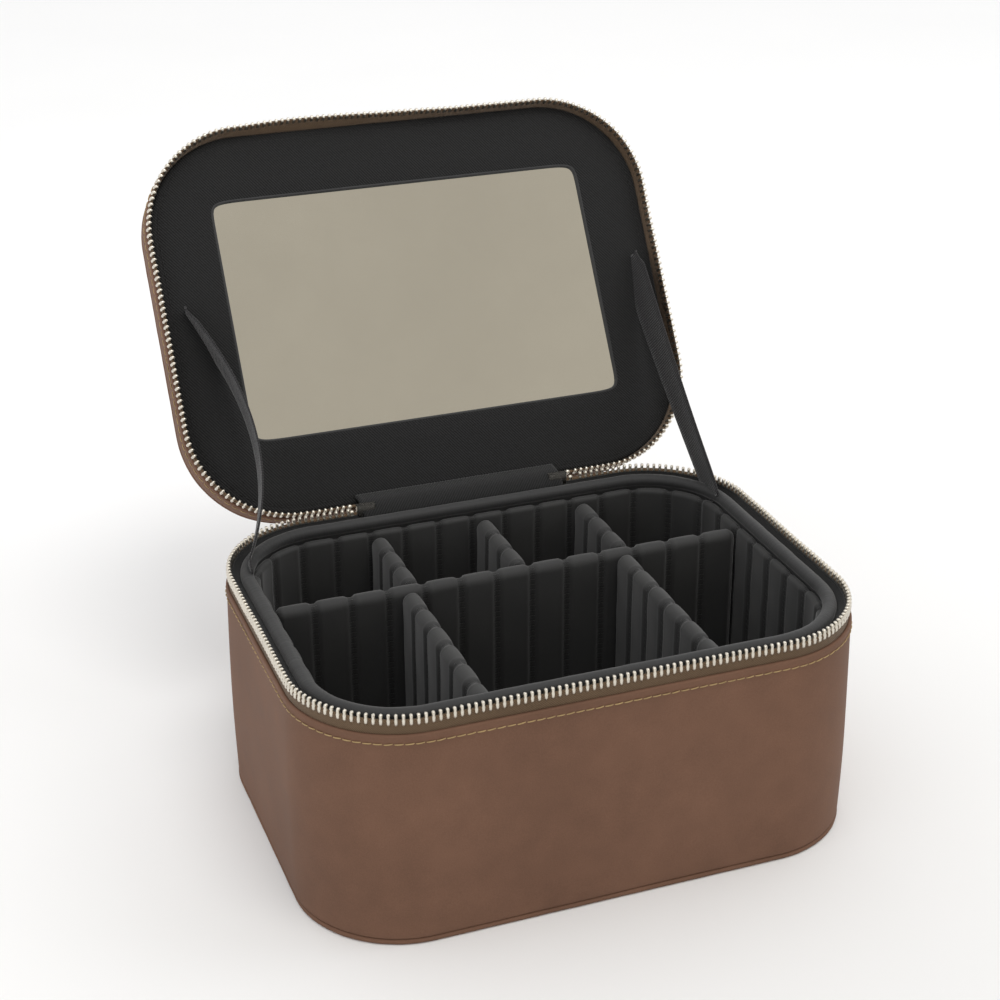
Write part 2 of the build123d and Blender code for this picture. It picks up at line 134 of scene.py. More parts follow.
# =============================== shader building blocks ===============================
class Finish:
    """A material under construction: short calls that add and join its nodes."""

    def __init__(self, name, coordinates="Object"):
        self.material = bpy.data.materials.new(name)
        self.material.use_nodes = True
        self.tree = self.material.node_tree
        self.tree.nodes.clear()
        self.shader = self.node("ShaderNodeBsdfPrincipled")
        output = self.node("ShaderNodeOutputMaterial")
        self.join(self.shader.outputs["BSDF"], output.inputs["Surface"])
        self.place = self.node("ShaderNodeTexCoord").outputs[coordinates]

    def node(self, kind, **settings):
        made = self.tree.nodes.new(kind)
        for key, value in settings.items():
            setattr(made, key, value)
        return made

    def join(self, source, target):
        self.tree.links.new(source, target)

    def put(self, value, socket):
        """Sets a socket to a constant, or joins it to another node's output."""
        if isinstance(value, bpy.types.NodeSocket):
            self.join(value, socket)
        else:
            socket.default_value = value

    def sum(self, operation, first, second=0.0, third=0.0):
        """One arithmetic step between numbers or outputs."""
        made = self.node("ShaderNodeMath", operation=operation)
        for socket, value in zip(made.inputs, (first, second, third)):
            self.put(value, socket)
        return made.outputs[0]

    def noise(self, scale, detail=3.0, roughness=0.55, place=None):
        made = self.node("ShaderNodeTexNoise")
        self.join(place or self.place, made.inputs["Vector"])
        made.inputs["Scale"].default_value = scale
        made.inputs["Detail"].default_value = detail
        made.inputs["Roughness"].default_value = roughness
        return made.outputs["Fac"]

    def cells(self, scale):
        made = self.node("ShaderNodeTexVoronoi")
        self.join(self.place, made.inputs["Vector"])
        made.inputs["Scale"].default_value = scale
        return made.outputs["Distance"]

    def turned(self, scale, angles=(0, 0, 0)):
        """The piece's coordinates turned and stretched."""
        made = self.node("ShaderNodeMapping")
        self.join(self.place, made.inputs["Vector"])
        made.inputs["Scale"].default_value = scale
        made.inputs["Rotation"].default_value = angles
        return made.outputs[0]

    def ramp(self, source, *stops):
        """A colour that follows a number, through the given (position, colour) stops."""
        made = self.node("ShaderNodeValToRGB")
        self.join(source, made.inputs["Fac"])
        elements = made.color_ramp.elements
        while len(elements) < len(stops):
            elements.new(0.5)
        for element, (position, colour) in zip(elements, stops):
            element.position = position
            element.color = (*colour, 1)
        return made.outputs["Color"]

    def between(self, source, low, high):
        """Stretches a number from 0..1 to low..high."""
        made = self.node("ShaderNodeMapRange")
        self.put(source, made.inputs["Value"])
        made.inputs["To Min"].default_value = low
        made.inputs["To Max"].default_value = high
        return made.outputs[0]

    def blend(self, share, first, second, mode="MIX"):
        made = self.node("ShaderNodeMix", data_type="RGBA", blend_type=mode)
        self.put(share, made.inputs["Factor"])
        for name, value in (("A", first), ("B", second)):
            socket = [s for s in made.inputs if s.name == name and s.type == "RGBA"][0]
            self.put((*value, 1) if isinstance(value, tuple) else value, socket)
        return [s for s in made.outputs if s.type == "RGBA"][0]

    def bump(self, height, strength, distance, below=None):
        made = self.node("ShaderNodeBump")
        self.join(height, made.inputs["Height"])
        made.inputs["Strength"].default_value = strength
        made.inputs["Distance"].default_value = distance
        if below is not None:
            self.join(below, made.inputs["Normal"])
        return made.outputs[0]

    def stripes(self, frequency, across="X", place=None):
        """Rounded ridges, 0 to 1, that many per metre along one axis of the coordinates."""
        parts = self.node("ShaderNodeSeparateXYZ")
        self.join(place or self.place, parts.inputs[0])
        turns = self.sum("MULTIPLY", parts.outputs[across], frequency * 2 * math.pi)
        return self.sum("MULTIPLY_ADD", self.sum("SINE", turns), 0.5, 0.5)

    def finish(self, colour=None, rough=None, normal=None, **sockets):
        if colour is not None:
            self.put((*colour, 1) if isinstance(colour, tuple) else colour, self.shader.inputs["Base Color"])
        if rough is not None:
            self.put(rough, self.shader.inputs["Roughness"])
        if normal is not None:
            self.join(normal, self.shader.inputs["Normal"])
        for name, value in sockets.items():
            self.shader.inputs[name.replace("_", " ")].default_value = value
        return self.material


# =============================== mesh building ===============================
def volume_of(points, face_sets):
    """The signed volume inside closed faces: each face's fan of triangles, with the origin, summed."""
    total = 0.0
    for faces in face_sets:
        first = points[faces[:, 0]]
        for k in range(1, faces.shape[1] - 1):
            side = np.cross(points[faces[:, k]], points[faces[:, k + 1]])
            total += np.einsum("ij,ij->i", first, side).sum()
    return total / 6


def mesh_of(name, points, face_sets, uv=None):
    """A mesh from an array of points and arrays of faces, turned so that a closed one faces outwards."""
    points = np.asarray(points, float)
    centred = points - points.mean(0)
    if volume_of(centred, face_sets) < 0:
        face_sets = [faces[:, ::-1] for faces in face_sets]
        uv = None if uv is None else [corners[:, ::-1] for corners in uv]
    sizes = np.concatenate([np.full(len(faces), faces.shape[1]) for faces in face_sets])
    corners = np.concatenate([faces.ravel() for faces in face_sets]).astype(np.int32)
    mesh = bpy.data.meshes.new(name)
    mesh.vertices.add(len(points))
    mesh.vertices.foreach_set("co", points.astype(np.float32).ravel())
    mesh.loops.add(len(corners))
    mesh.loops.foreach_set("vertex_index", corners)
    mesh.polygons.add(len(sizes))
    mesh.polygons.foreach_set("loop_start", (np.cumsum(sizes) - sizes).astype(np.int32))
    if uv is not None:
        layer = mesh.uv_layers.new(name="weave")
        flat_uv = np.concatenate([pairs.reshape(-1, 2) for pairs in uv])
        layer.data.foreach_set("uv", flat_uv.astype(np.float32).ravel())
    mesh.update(calc_edges=True)
    mesh.polygons.foreach_set("use_smooth", np.full(len(sizes), True))
    return mesh


def grid_mesh(name, points, ring_rows=True, ring_columns=True, caps=False, row_counts=None):
    """A mesh over a grid of points [row, column]. A ring joins the last row or column to the first;
    caps close the first and last row with a fan. UV is the distance along the rows and across the columns, in
    metres, or row_counts in place of the first: one number for each row, and one more for a ring."""
    rows, columns = points.shape[:2]
    r = np.arange(rows if ring_rows else rows - 1)
    c = np.arange(columns if ring_columns else columns - 1)
    i, j = (index.ravel() for index in np.meshgrid(r, c, indexing="ij"))
    i2, j2 = (i + 1) % rows, (j + 1) % columns
    quads = np.stack([i * columns + j, i2 * columns + j, i2 * columns + j2, i * columns + j2], -1)
    row_step = np.linalg.norm(np.roll(points, -1, 0) - points, axis=2).max(1)
    column_step = np.linalg.norm(np.roll(points, -1, 1) - points, axis=2).mean(0)
    u = np.concatenate([[0], np.cumsum(row_step)]) if row_counts is None else row_counts
    v = np.concatenate([[0], np.cumsum(column_step)])
    quad_corners = ((i, j), (i + 1, j), (i + 1, j + 1), (i, j + 1))
    quad_uv = np.stack([np.stack([u[a], v[b]], -1) for a, b in quad_corners], 1)
    faces, uvs, flat = [quads], [quad_uv], points.reshape(-1, 3)
    if caps:
        ends = np.stack([points[0].mean(0), points[-1].mean(0)])
        k = np.arange(columns)
        k2 = (k + 1) % columns
        last = (rows - 1) * columns
        first_fan = np.stack([k, k2, np.full(columns, len(flat))], -1)
        last_fan = np.stack([last + k2, last + k, np.full(columns, len(flat) + 1)], -1)
        fans = np.concatenate([first_fan, last_fan])
        flat = np.concatenate([flat, ends])
        faces.append(fans)
        uvs.append(flat[fans][..., :2])
    return mesh_of(name, flat, faces, uvs)


def lay_flat(mesh, places):
    """Sets the UV of every corner of a mesh to the flat place given for the point it stands on."""
    corners = np.zeros(len(mesh.loops), np.int32)
    mesh.loops.foreach_get("vertex_index", corners)
    mesh.uv_layers[0].data.foreach_set("uv", places[corners].astype(np.float32).ravel())


def repeated_mesh(name, pattern, places, along, out, up):
    """Copies of a small capped tube: pattern is [station, side, (along, out, up)], set at each place on the
    three directions given for it."""
    stations, sides = pattern.shape[:2]
    s, k = (index.ravel() for index in np.meshgrid(np.arange(stations - 1), np.arange(sides), indexing="ij"))
    k2 = (k + 1) % sides
    quads = np.stack([s * sides + k, (s + 1) * sides + k, (s + 1) * sides + k2, s * sides + k2], -1)
    ends = np.stack([np.arange(sides), (stations - 1) * sides + np.arange(sides)[::-1]])
    local = pattern.reshape(-1, 3)
    ways = enumerate((along, out, up))
    points = places[:, None] + sum(local[:, axis, None] * way[:, None] for axis, way in ways)
    shift = (np.arange(len(places)) * len(local))[:, None, None]
    faces = [(quads + shift).reshape(-1, 4), (ends + shift).reshape(-1, sides)]
    return mesh_of(name, points.reshape(-1, 3), faces)


def show(name, mesh, material, body=None, replaces=()):
    """Makes a mesh a piece of the case: its finish, the body it rides on and the CAD nodes
    that it stands for."""
    mesh.materials.append(material)
    made = bpy.data.objects.new(name, mesh)
    bpy.context.scene.collection.objects.link(made)
    if body:
        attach(made, body)
    if replaces:
        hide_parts(*replaces)
    return made


# =============================== the rim and the lid's swing ===============================
def rim_length(inset=0.0):
    """Round the rounded rectangle, that far in from the case's outer face."""
    return 4 * (half_width + half_depth - 2 * corner) + 2 * math.pi * (corner - inset)


def rim_place(along, inset=0.0):
    """Places round the rim, along metres from the middle of the back, counter-clockwise from above, measured
    at that inset: the centre of curvature and the outward direction. A point is centre + outward * radius."""
    a, b = half_width - corner, half_depth - corner
    quarter = math.pi / 2 * (corner - inset)
    runs = np.array([0, a, quarter, 2 * b, quarter, 2 * a, quarter, 2 * b, quarter, a])
    x = np.array([0, -a, -a, -a, -a, a, a, a, a, 0])
    y = np.array([b, b, b, -b, -b, -b, -b, b, b, b])
    turn = np.pi / 2 * np.array([1, 1, 2, 2, 3, 3, 4, 4, 5, 5])
    stops = np.cumsum(runs)
    angle = np.interp(along, stops, turn)
    centre = np.stack([np.interp(along, stops, x), np.interp(along, stops, y)], -1)
    return centre, np.stack([np.cos(angle), np.sin(angle)], -1)


def swing(points, lid):
    """Points of the closed case: the lid's are turned open about the hinge, the base's stay."""
    if not lid:
        return points
    y, z = points[..., 1] - hinge[1], points[..., 2] - hinge[2]
    c, s = math.cos(open_angle), math.sin(open_angle)
    return np.stack([points[..., 0], hinge[1] + y * c + z * s, hinge[2] - y * s + z * c], -1)


def shell(along, inset, drop, lid, measured_at=0.0, spread=0.0):
    """Points of a shell: drop is the distance from the parting line into the base or the lid, inset the
    distance in from the case's outer face. spread, 0 at the rim and 1 at the foot, tightens the base's
    corners."""
    centre, outward = rim_place(along, measured_at)
    tighter = 2 * mm * spread
    inset, drop, tighter = np.broadcast_arrays(inset, drop, tighter)
    radius = corner - tighter - inset
    x = centre[:, None, 0] * (1 + tighter / (half_width - corner)) + outward[:, None, 0] * radius
    y = centre[:, None, 1] * (1 + tighter / (half_depth - corner)) + outward[:, None, 1] * radius
    x, y, height = np.broadcast_arrays(x, y, drop if lid else -drop)
    return swing(np.stack([x, y, rim_z + height], -1), lid)


def axes_at(along, lid, measured_at=0.0):
    """Unit directions at places on the rim: along it, outwards, and away from the other half."""
    _, outward = rim_place(along, measured_at)
    zero, one = np.zeros(len(along)), np.ones(len(along))
    out = np.stack([outward[:, 0], outward[:, 1], zero], -1)
    up = np.stack([zero, zero, one if lid else -one], -1)
    tangent = np.stack([-outward[:, 1], outward[:, 0], zero], -1)
    if not lid:
        return tangent, out, up
    return tuple(swing(way + hinge, True) - hinge for way in (tangent, out, up))


def body_of(lid):
    """The body that a shell piece rides on."""
    return "lid" if lid else "base"


def smooth_step(value):
    """0 below 0, 1 above 1, and 3v^2 - 2v^3 in between."""
    v = np.clip(value, 0, 1)
    return v * v * (3 - 2 * v)


def soft_waves(along, across, size, period=0.09):
    """Small unevenness of handwork: three sine waves of different length and slant, added up."""
    turns = 2 * np.pi * along / period
    slant = 2 * np.pi * across / (0.7 * period)
    second = 0.6 * np.sin(1.73 * turns - 1.3 * slant + 1)
    third = 0.4 * np.sin(2.9 * turns + 2)
    return size * (np.sin(turns + slant) + second + third) / 2


def tape_lean(along, drop, lid):
    """How far the zipper's free edge stands outwards: a cosine swell where the lid's front gapes, small waves
    elsewhere, fading from the teeth to the leather's edge."""
    centre, outward = rim_place(along)
    x = centre[:, 0] + outward[:, 0] * corner
    fade = 1 - smooth_step(drop / (leather_edge + 2 * mm))
    if not lid:
        return soft_waves(along, 0.0, 0.25 * mm)[:, None] * fade
    front = smooth_step(-outward[:, 1] * 3 - 0.5)
    gape = np.cos(np.clip((x + 0.045) / 0.09, -1, 1) * np.pi / 2) ** 2 * front
    return (1.2 * mm + 3.0 * mm * gape + soft_waves(along, 0.0, 0.35 * mm, 0.12))[:, None] * fade


def closed_section(outer, inner):
    """One loop from two lines: out along the first, back along the second."""
    return np.concatenate([outer, inner[::-1]])


# =============================== finishes ===============================
def shades(colour, *shares):
    """Darker and lighter versions of a colour, each a share of it."""
    return [tuple(share * part for part in colour) for share in shares]


def leather_finish(name, colour):
    """Smooth embossed leather: a fine pebble, cloudy dye, and a sheen that varies softly."""
    f = Finish(name)
    cloud = f.noise(9, 3)
    mottle = f.noise(70, 4)
    grain = 1500
    fine = f.noise(grain, 2, 0.6)
    pebble = f.cells(0.55 * grain)
    dark, light = shades(colour, 0.86, 1.12)
    clouded = f.sum("MULTIPLY_ADD", mottle, 0.35, f.sum("MULTIPLY", cloud, 0.65))
    dyed = f.ramp(clouded, (0.34, dark), (0.66, light))
    speck = f.ramp(fine, (0.3, (0.88, 0.87, 0.86)), (0.7, (1.0, 1.0, 1.0)))
    normal = f.bump(pebble, 0.22, 0.10 * mm, f.bump(fine, 0.25, 0.12 * mm))
    rough = f.between(mottle, 0.58, 0.7)
    return f.finish(f.blend(1.0, dyed, speck, "MULTIPLY"), rough, normal, Specular_IOR_Level=0.12)


def twill_finish(name, colour, pitch, contrast=0.35, depth=0.12, sheen=0.15, angle=45.0):
    """Woven twill on the piece's own UV: diagonal ridges of the weave, crossed by its finer threads."""
    f = Finish(name, "UV")
    slant = f.turned((1, 1, 1), (0, 0, math.radians(angle)))
    ridge = f.stripes(1 / pitch, "X", slant)
    thread = f.stripes(2.2 / pitch, "Y", slant)
    weave = f.sum("MULTIPLY_ADD", thread, 0.3, f.sum("MULTIPLY", ridge, 0.7))
    fuzz = f.noise(1 / pitch, 2)
    cloud = f.noise(25, 3)
    dark, light = shades(colour, 1 - contrast, 1 + contrast)
    shade = f.ramp(f.sum("MULTIPLY_ADD", fuzz, 0.3, f.sum("MULTIPLY", weave, 0.7)), (0.2, dark), (0.8, light))
    worn = f.ramp(cloud, (0.3, (0.88, 0.88, 0.88)), (0.7, (1.0, 1.0, 1.0)))
    normal = f.bump(weave, 0.7, depth * mm, f.bump(fuzz, 0.3, 0.05 * mm))
    return f.finish(f.blend(1.0, shade, worn, "MULTIPLY"), f.between(cloud, 0.82, 0.95), normal,
                    Specular_IOR_Level=0.25, Sheen_Weight=sheen, Sheen_Roughness=0.4)


def channel_finish(name, colour):
    """Padded lining cloth, its UV counted in sewn channels: a fine close weave, pulled wrinkles beside each
    groove, the ladder of stitches that lies in it, and painted shade darkening each groove."""
    f = Finish(name, "UV")
    parts = f.node("ShaderNodeSeparateXYZ")
    f.join(f.place, parts.inputs[0])
    share = f.sum("FRACT", parts.outputs["X"])
    from_groove = f.sum("SUBTRACT", 0.5, f.sum("ABSOLUTE", f.sum("SUBTRACT", share, 0.5)))
    in_groove = f.sum("LESS_THAN", from_groove, 0.085)
    # painted shade: the cloth's colour falls to 0.38 of itself in the middle of each sewn groove, where shade
    # falls
    painted_groove_shade = f.between(f.sum("MINIMUM", f.sum("MULTIPLY", from_groove, 9.0), 1.0), 0.38, 1.0)
    near_groove = f.sum("SUBTRACT", 1.0, f.sum("MINIMUM", f.sum("MULTIPLY", from_groove, 4.0), 1.0))
    rung = f.sum("GREATER_THAN", f.stripes(1 / (3.2 * mm), "Y"), 0.62)
    stitch = f.sum("MULTIPLY", rung, in_groove)
    place = f.node("ShaderNodeTexCoord").outputs["Object"]
    fine = f.noise(1900, 2, 0.6, place)
    cloud = f.noise(22, 3, 0.5, place)
    wrinkle = f.noise(260, 3, 0.55, f.turned((0.05, 1, 1)))
    dark, light, thread = shades(colour, 0.75, 1.25, 0.35)
    cloth = f.ramp(fine, (0.25, dark), (0.75, light))
    worn = f.ramp(cloud, (0.3, (0.82, 0.82, 0.84)), (0.7, (1.08, 1.08, 1.06)))
    sewn = f.blend(f.sum("MULTIPLY", stitch, 0.6), f.blend(1.0, cloth, worn, "MULTIPLY"), thread)
    shade = f.blend(1.0, sewn, painted_groove_shade, "MULTIPLY")
    puckers = f.sum("MULTIPLY", wrinkle, near_groove)
    normal = f.bump(fine, 0.3, 0.06 * mm, f.bump(puckers, 0.55, 0.9 * mm, f.bump(stitch, 0.8, 0.5 * mm)))
    return f.finish(shade, f.between(fine, 0.6, 0.78), normal,
                    Specular_IOR_Level=0.42, Sheen_Weight=0.25, Sheen_Roughness=0.45)


def cord_cloth_finish(name, colour):
    """Cloth pulled tight over a cord or a bead: fine weave and small creases across it."""
    f = Finish(name, "UV")
    crease = f.noise(60, 3, 0.6, f.turned((9, 0.6, 1)))
    weave = f.stripes(1100, "Y", f.turned((1, 1, 1), (0, 0, math.radians(45))))
    dark, light = shades(colour, 0.75, 1.2)
    shade = f.ramp(crease, (0.3, dark), (0.7, light))
    normal = f.bump(weave, 0.3, 0.07 * mm, f.bump(crease, 0.4, 0.5 * mm))
    return f.finish(shade, f.between(crease, 0.55, 0.72), normal,
                    Specular_IOR_Level=0.45, Sheen_Weight=0.2, Sheen_Roughness=0.45)


def grosgrain_finish(name, colour):
    """Ribbed tape: a rib across the strap every 1.5 mm, with the fine threads that cross it."""
    f = Finish(name, "UV")
    rib = f.stripes(1 / (1.5 * mm), "X")
    thread = f.stripes(1 / (0.4 * mm), "Y")
    fuzz = f.noise(700, 2)
    height = f.sum("MULTIPLY_ADD", thread, 0.2, f.sum("MULTIPLY", rib, 0.8))
    dark, light = shades(colour, 0.5, 1.6)
    uneven = f.sum("MULTIPLY_ADD", fuzz, 0.3, f.sum("MULTIPLY", height, 0.7))
    shade = f.ramp(uneven, (0.2, dark), (0.8, light))
    return f.finish(shade, f.between(fuzz, 0.7, 0.85), f.bump(height, 0.8, 0.3 * mm),
                    Specular_IOR_Level=0.35, Sheen_Weight=0.3, Sheen_Roughness=0.35)


def thread_finish(name, colour):
    """Twisted sewing thread: fibres and uneven colour."""
    f = Finish(name)
    twist = f.noise(3500, 2, 0.6)
    patch = f.noise(180, 2)
    dark, light = shades(colour, 0.72, 1.2)
    uneven = f.sum("MULTIPLY_ADD", patch, 0.6, f.sum("MULTIPLY", twist, 0.4))
    shade = f.ramp(uneven, (0.3, dark), (0.7, light))
    return f.finish(shade, f.between(twist, 0.5, 0.7), f.bump(twist, 0.5, 0.08 * mm), Specular_IOR_Level=0.4)


def metal_finish(name, colour, rough_low, rough_high):
    """Plated metal: fine scratches, and a lustre that varies with handling."""
    f = Finish(name)
    scuffs = f.noise(420, 4, 0.6, f.turned((1, 6, 1)))
    patch = f.noise(160, 3)
    shade = f.ramp(patch, (0.3, *shades(colour, 0.86)), (0.7, colour))
    normal = f.bump(scuffs, 0.12, 0.05 * mm)
    return f.finish(shade, f.between(patch, rough_low, rough_high), normal, Metallic=1.0)


def mirror_finish(name, colour):
    """Silvered glass with the haze and finger marks of use."""
    f = Finish(name)
    smear = f.noise(26, 5, 0.6)
    dust = f.cells(420)
    marks = f.ramp(dust, (0.0, (1, 1, 1)), (0.06, (0, 0, 0)))
    haze = f.sum("MULTIPLY_ADD", marks, 0.14, f.between(smear, 0.015, 0.075))
    shade = f.ramp(smear, (0.3, *shades(colour, 0.965)), (0.7, colour))
    return f.finish(shade, haze, Metallic=1.0)


def board_finish(name, colour, grain=600):
    """Pressed stiffener board or foam that shows only when the case is taken apart: fibres and flecks."""
    f = Finish(name)
    fibre = f.noise(grain, 4, 0.65, f.turned((1, 1, 5)))
    dark, light = shades(colour, 0.75, 1.2)
    shade = f.ramp(fibre, (0.3, dark), (0.7, light))
    return f.finish(shade, f.between(fibre, 0.8, 0.95), f.bump(fibre, 0.4, 0.2 * mm), Specular_IOR_Level=0.2)


brown = (0.172, 0.093, 0.061)
brown_leather = leather_finish("brown leather", brown)
brown_tape = twill_finish("brown zipper tape", (0.135, 0.088, 0.052), 0.85 * mm, 0.45, 0.2)
nickel = metal_finish("nickel zipper teeth", (0.74, 0.69, 0.60), 0.22, 0.38)
bright_metal = metal_finish("plated fittings", (0.78, 0.75, 0.69), 0.14, 0.26)
black = (0.0145, 0.0145, 0.0148)
lining_twill = twill_finish("black lining twill", black, 1.3 * mm, 0.75, 0.3, 0.16, 38.0)
binding_twill = twill_finish("black rim twill", black, 0.8 * mm, 0.45, 0.12, 0.2)
padded_cloth = channel_finish("black padded cloth", (0.0215, 0.0215, 0.0215))
piping_cloth = cord_cloth_finish("black piping cloth", (0.016, 0.016, 0.0165))
strap_weave = grosgrain_finish("black grosgrain", (0.0175, 0.0165, 0.0175))
tan_thread = thread_finish("tan thread", (0.37, 0.255, 0.115))
black_thread = thread_finish("black thread", (0.010, 0.010, 0.010))
mirror_silver = mirror_finish("mirror", (0.86, 0.85, 0.81))
board_grey = board_finish("stiffener board", (0.30, 0.26, 0.20))
foam_grey = board_finish("grey foam", (0.10, 0.10, 0.10), 1400)
cad_finishes = {
    "brown_leather": brown_leather, "brown_tape": brown_tape, "silver_metal": bright_metal,
    "black_twill": lining_twill, "black_padded_fabric": piping_cloth, "black_grosgrain": strap_weave,
    "foam": foam_grey, "stiffener_board": board_grey, "mirror": mirror_silver,
}
slot_of = {entry["node"]: entry["material_slot"] for entry in record["subparts"]}
for node, shown in frame["nodes"].items():
    shown.data.materials.clear()
    shown.data.materials.append(cad_finishes[slot_of[node]])


# =============================== leather shell ===============================
def quarter_round(distance, radius):
    """How far a rolled edge has still to go at a distance from its tip: 1 at the tip, 0 from the radius on,
    1 - sqrt(1 - (1 - distance / radius)^2) between."""
    return 1 - np.sqrt(np.clip(1 - (1 - np.clip(distance / radius, 0, 1)) ** 2, 0, 1))


def leather_wall(name, lid, far_drop, replaced):
    """The wall's section, carried round the rim: a rolled edge beside the zipper, a hollow where it is sewn,
    a slight outward belly, and a turn inwards at the welt. The belly is a half sine of the height."""
    along = np.linspace(0, rim_length(), 520, endpoint=False)
    edge_roll, foot_roll = 1.1 * mm, 1.4 * mm
    end = 1 - np.cos(np.linspace(0, np.pi / 2, 8))
    drop = np.concatenate([leather_edge + edge_roll * end[:-1],
                           np.linspace(leather_edge + edge_roll, far_drop - foot_roll, 40),
                           far_drop - foot_roll * end[::-1][1:]])
    share = (drop - leather_edge) / (far_drop - leather_edge)
    rolled = 1.0 * mm * quarter_round(drop - leather_edge, edge_roll)
    tucked = 0.9 * mm * quarter_round(far_drop - drop, foot_roll)
    sewn = 0.28 * mm * np.exp(-((drop - leather_edge - stitch_drop) / (0.9 * mm)) ** 2)
    raised = 0.45 * mm * (1 - smooth_step((drop - leather_edge - stitch_drop) / (2 * mm)))
    belly = (0.9 if not lid else 0.35) * mm * np.sin(np.pi * share)
    waves = soft_waves(along[:, None], drop[None], 0.22 * mm, 0.16)
    outer = (rolled + tucked + sewn - raised - belly)[None] + waves
    inner = np.full_like(outer, leather)
    inset = np.concatenate([outer, inner[:, ::-1]], 1)
    both = closed_section(drop, drop)
    spread = 0 if lid else closed_section(share, share)[None]
    points = shell(along, inset, both[None], lid, spread=spread)
    show(name, grid_mesh(name, points), brown_leather, body_of(lid), [replaced])


wall_foot_drop = rim_z - foot_low.z
lid_wall_drop = lid_height - 3.3 * mm
leather_wall("leather_wall", False, wall_foot_drop, "base_leather_wall")
leather_wall("lid_wall", True, lid_wall_drop, "lid_leather_wall")


def corded_ring(name, inset, drop, radii, lid, material, replaced, crease,
                spread=0.0, tail=0.0, count=520, sides=20):
    """A round or flattened cord laid round the rim, with a flange of cloth on its sheltered side: a circle
    whose radius swells by a small sine along the cord."""
    along = np.linspace(0, rim_length(), count, endpoint=False)
    angle = np.linspace(0, 2 * np.pi, sides, endpoint=False)
    swell = 1 + (soft_waves(along, 0.0, crease, 0.03) / radii[0])[:, None]
    tailed = tail * np.exp(-((angle - 1.5 * np.pi) / 0.35) ** 2)
    ring_inset = inset + radii[0] * np.cos(angle)[None] * swell
    ring_drop = drop + radii[1] * np.sin(-angle)[None] * swell + tailed[None]
    points = shell(along, ring_inset, ring_drop, lid, spread=spread)
    return show(name, grid_mesh(name, points), material, body_of(lid), [replaced])


welt_inset, welt_radii, welt_crease = 1.4 * mm, (1.55 * mm, 1.6 * mm), 0.06 * mm
corded_ring("foot_welt", welt_inset, rim_z - 1.62 * mm, welt_radii, False, brown_leather,
            "bottom_welt", welt_crease, spread=1.0)
corded_ring("lid_top_welt", welt_inset, lid_height - 1.6 * mm, welt_radii, True, brown_leather,
            "lid_welt", welt_crease)


def panel_points(reach, middle_drop, edge_drop, thick, lid, spread=0.0):
    """A sheet inside the rim: rings that shrink from the edge to the middle, its face easing from the
    middle's drop to the edge's with share^4, then the same rings back on its other side. Rows are rings,
    columns go round."""
    along = np.linspace(0, rim_length(), 360, endpoint=False)
    share = np.concatenate([np.linspace(0.03, 0.9, 22), 0.9 + 0.1 * np.sin(np.linspace(0.1, np.pi / 2, 10))])
    edge = thick / 2 * np.sqrt(np.clip(1 - np.clip((share - 0.985) / 0.015, 0, 1) ** 2, 0, 1))
    face = middle_drop + (edge_drop - middle_drop) * share ** 4
    rim = shell(along, reach, 0.0, False, spread=spread)[:, 0]
    scales = np.concatenate([share, share[::-1]])
    drops = np.concatenate([face - edge, (face + edge)[::-1]])
    points = rim[None] * scales[:, None, None]
    height = drops if lid else -drops
    points[..., 2] = rim_z + height[:, None]
    return swing(points, lid)


bottom_drop = rim_z - leather / 2
bottom = panel_points(3.1 * mm, bottom_drop, bottom_drop, leather, False, spread=1.0)
show("bottom_panel", grid_mesh("bottom_panel", bottom, False, caps=True), brown_leather,
     "base", ["base_bottom_leather"])
top = panel_points(3.0 * mm, lid_height - 0.55 * mm, lid_height - 1.0 * mm, 1.1 * mm, True)
show("lid_top_panel", grid_mesh("lid_top_panel", top, False, caps=True), brown_leather,
     "lid", ["lid_leather_top"])


# =============================== stitching ===============================
def stitch_pattern(length, radius, arch):
    """One stitch: a thread whose ends dip into the leather, its middle raised by arch. (along, out, up)."""
    share = np.array([-0.5, -0.42, -0.2, 0.2, 0.42, 0.5])
    size = np.array([0.55, 0.9, 1.0, 1.0, 0.9, 0.55]) * radius
    lift = np.array([-1.1, -0.1, 1.0, 1.0, -0.1, -1.1]) * arch
    angle = np.linspace(0, 2 * np.pi, 6, endpoint=False)
    along = np.broadcast_to((share * length)[:, None], (len(share), len(angle)))
    out = lift[:, None] + size[:, None] * np.cos(angle)
    up = size[:, None] * np.sin(angle)
    return np.stack([along, out, up], -1)


def slanted(along, up, degrees):
    """The along and up directions turned in the surface, alternately a little more and less."""
    turn = np.radians(degrees + 3 * np.cos(np.arange(len(along)) * 2.4))[:, None]
    return along * np.cos(turn) + up * np.sin(turn), up * np.cos(turn) - along * np.sin(turn)


def topstitch(name, lid, slant, spread):
    """The row of stitches round the outside of a wall, beside its folded edge."""
    inset = -0.5 * mm
    count = round(rim_length(inset) / stitch_pitch)
    along = np.arange(count) * rim_length() / count
    places = shell(along, inset, leather_edge + stitch_drop, lid, spread=spread)[:, 0]
    tangent, out, up = axes_at(along, lid)
    tangent, up = slanted(tangent, up, slant)
    pattern = stitch_pattern(4.4 * mm, 0.33 * mm, 0.16 * mm)
    mesh = repeated_mesh(name, pattern, places, tangent, out, up)
    show(name, mesh, tan_thread, body_of(lid))


wall_height = wall_foot_drop - leather_edge
topstitch("rim_topstitch", False, -4, stitch_drop / wall_height)
topstitch("lid_topstitch", True, 4, 0.0)


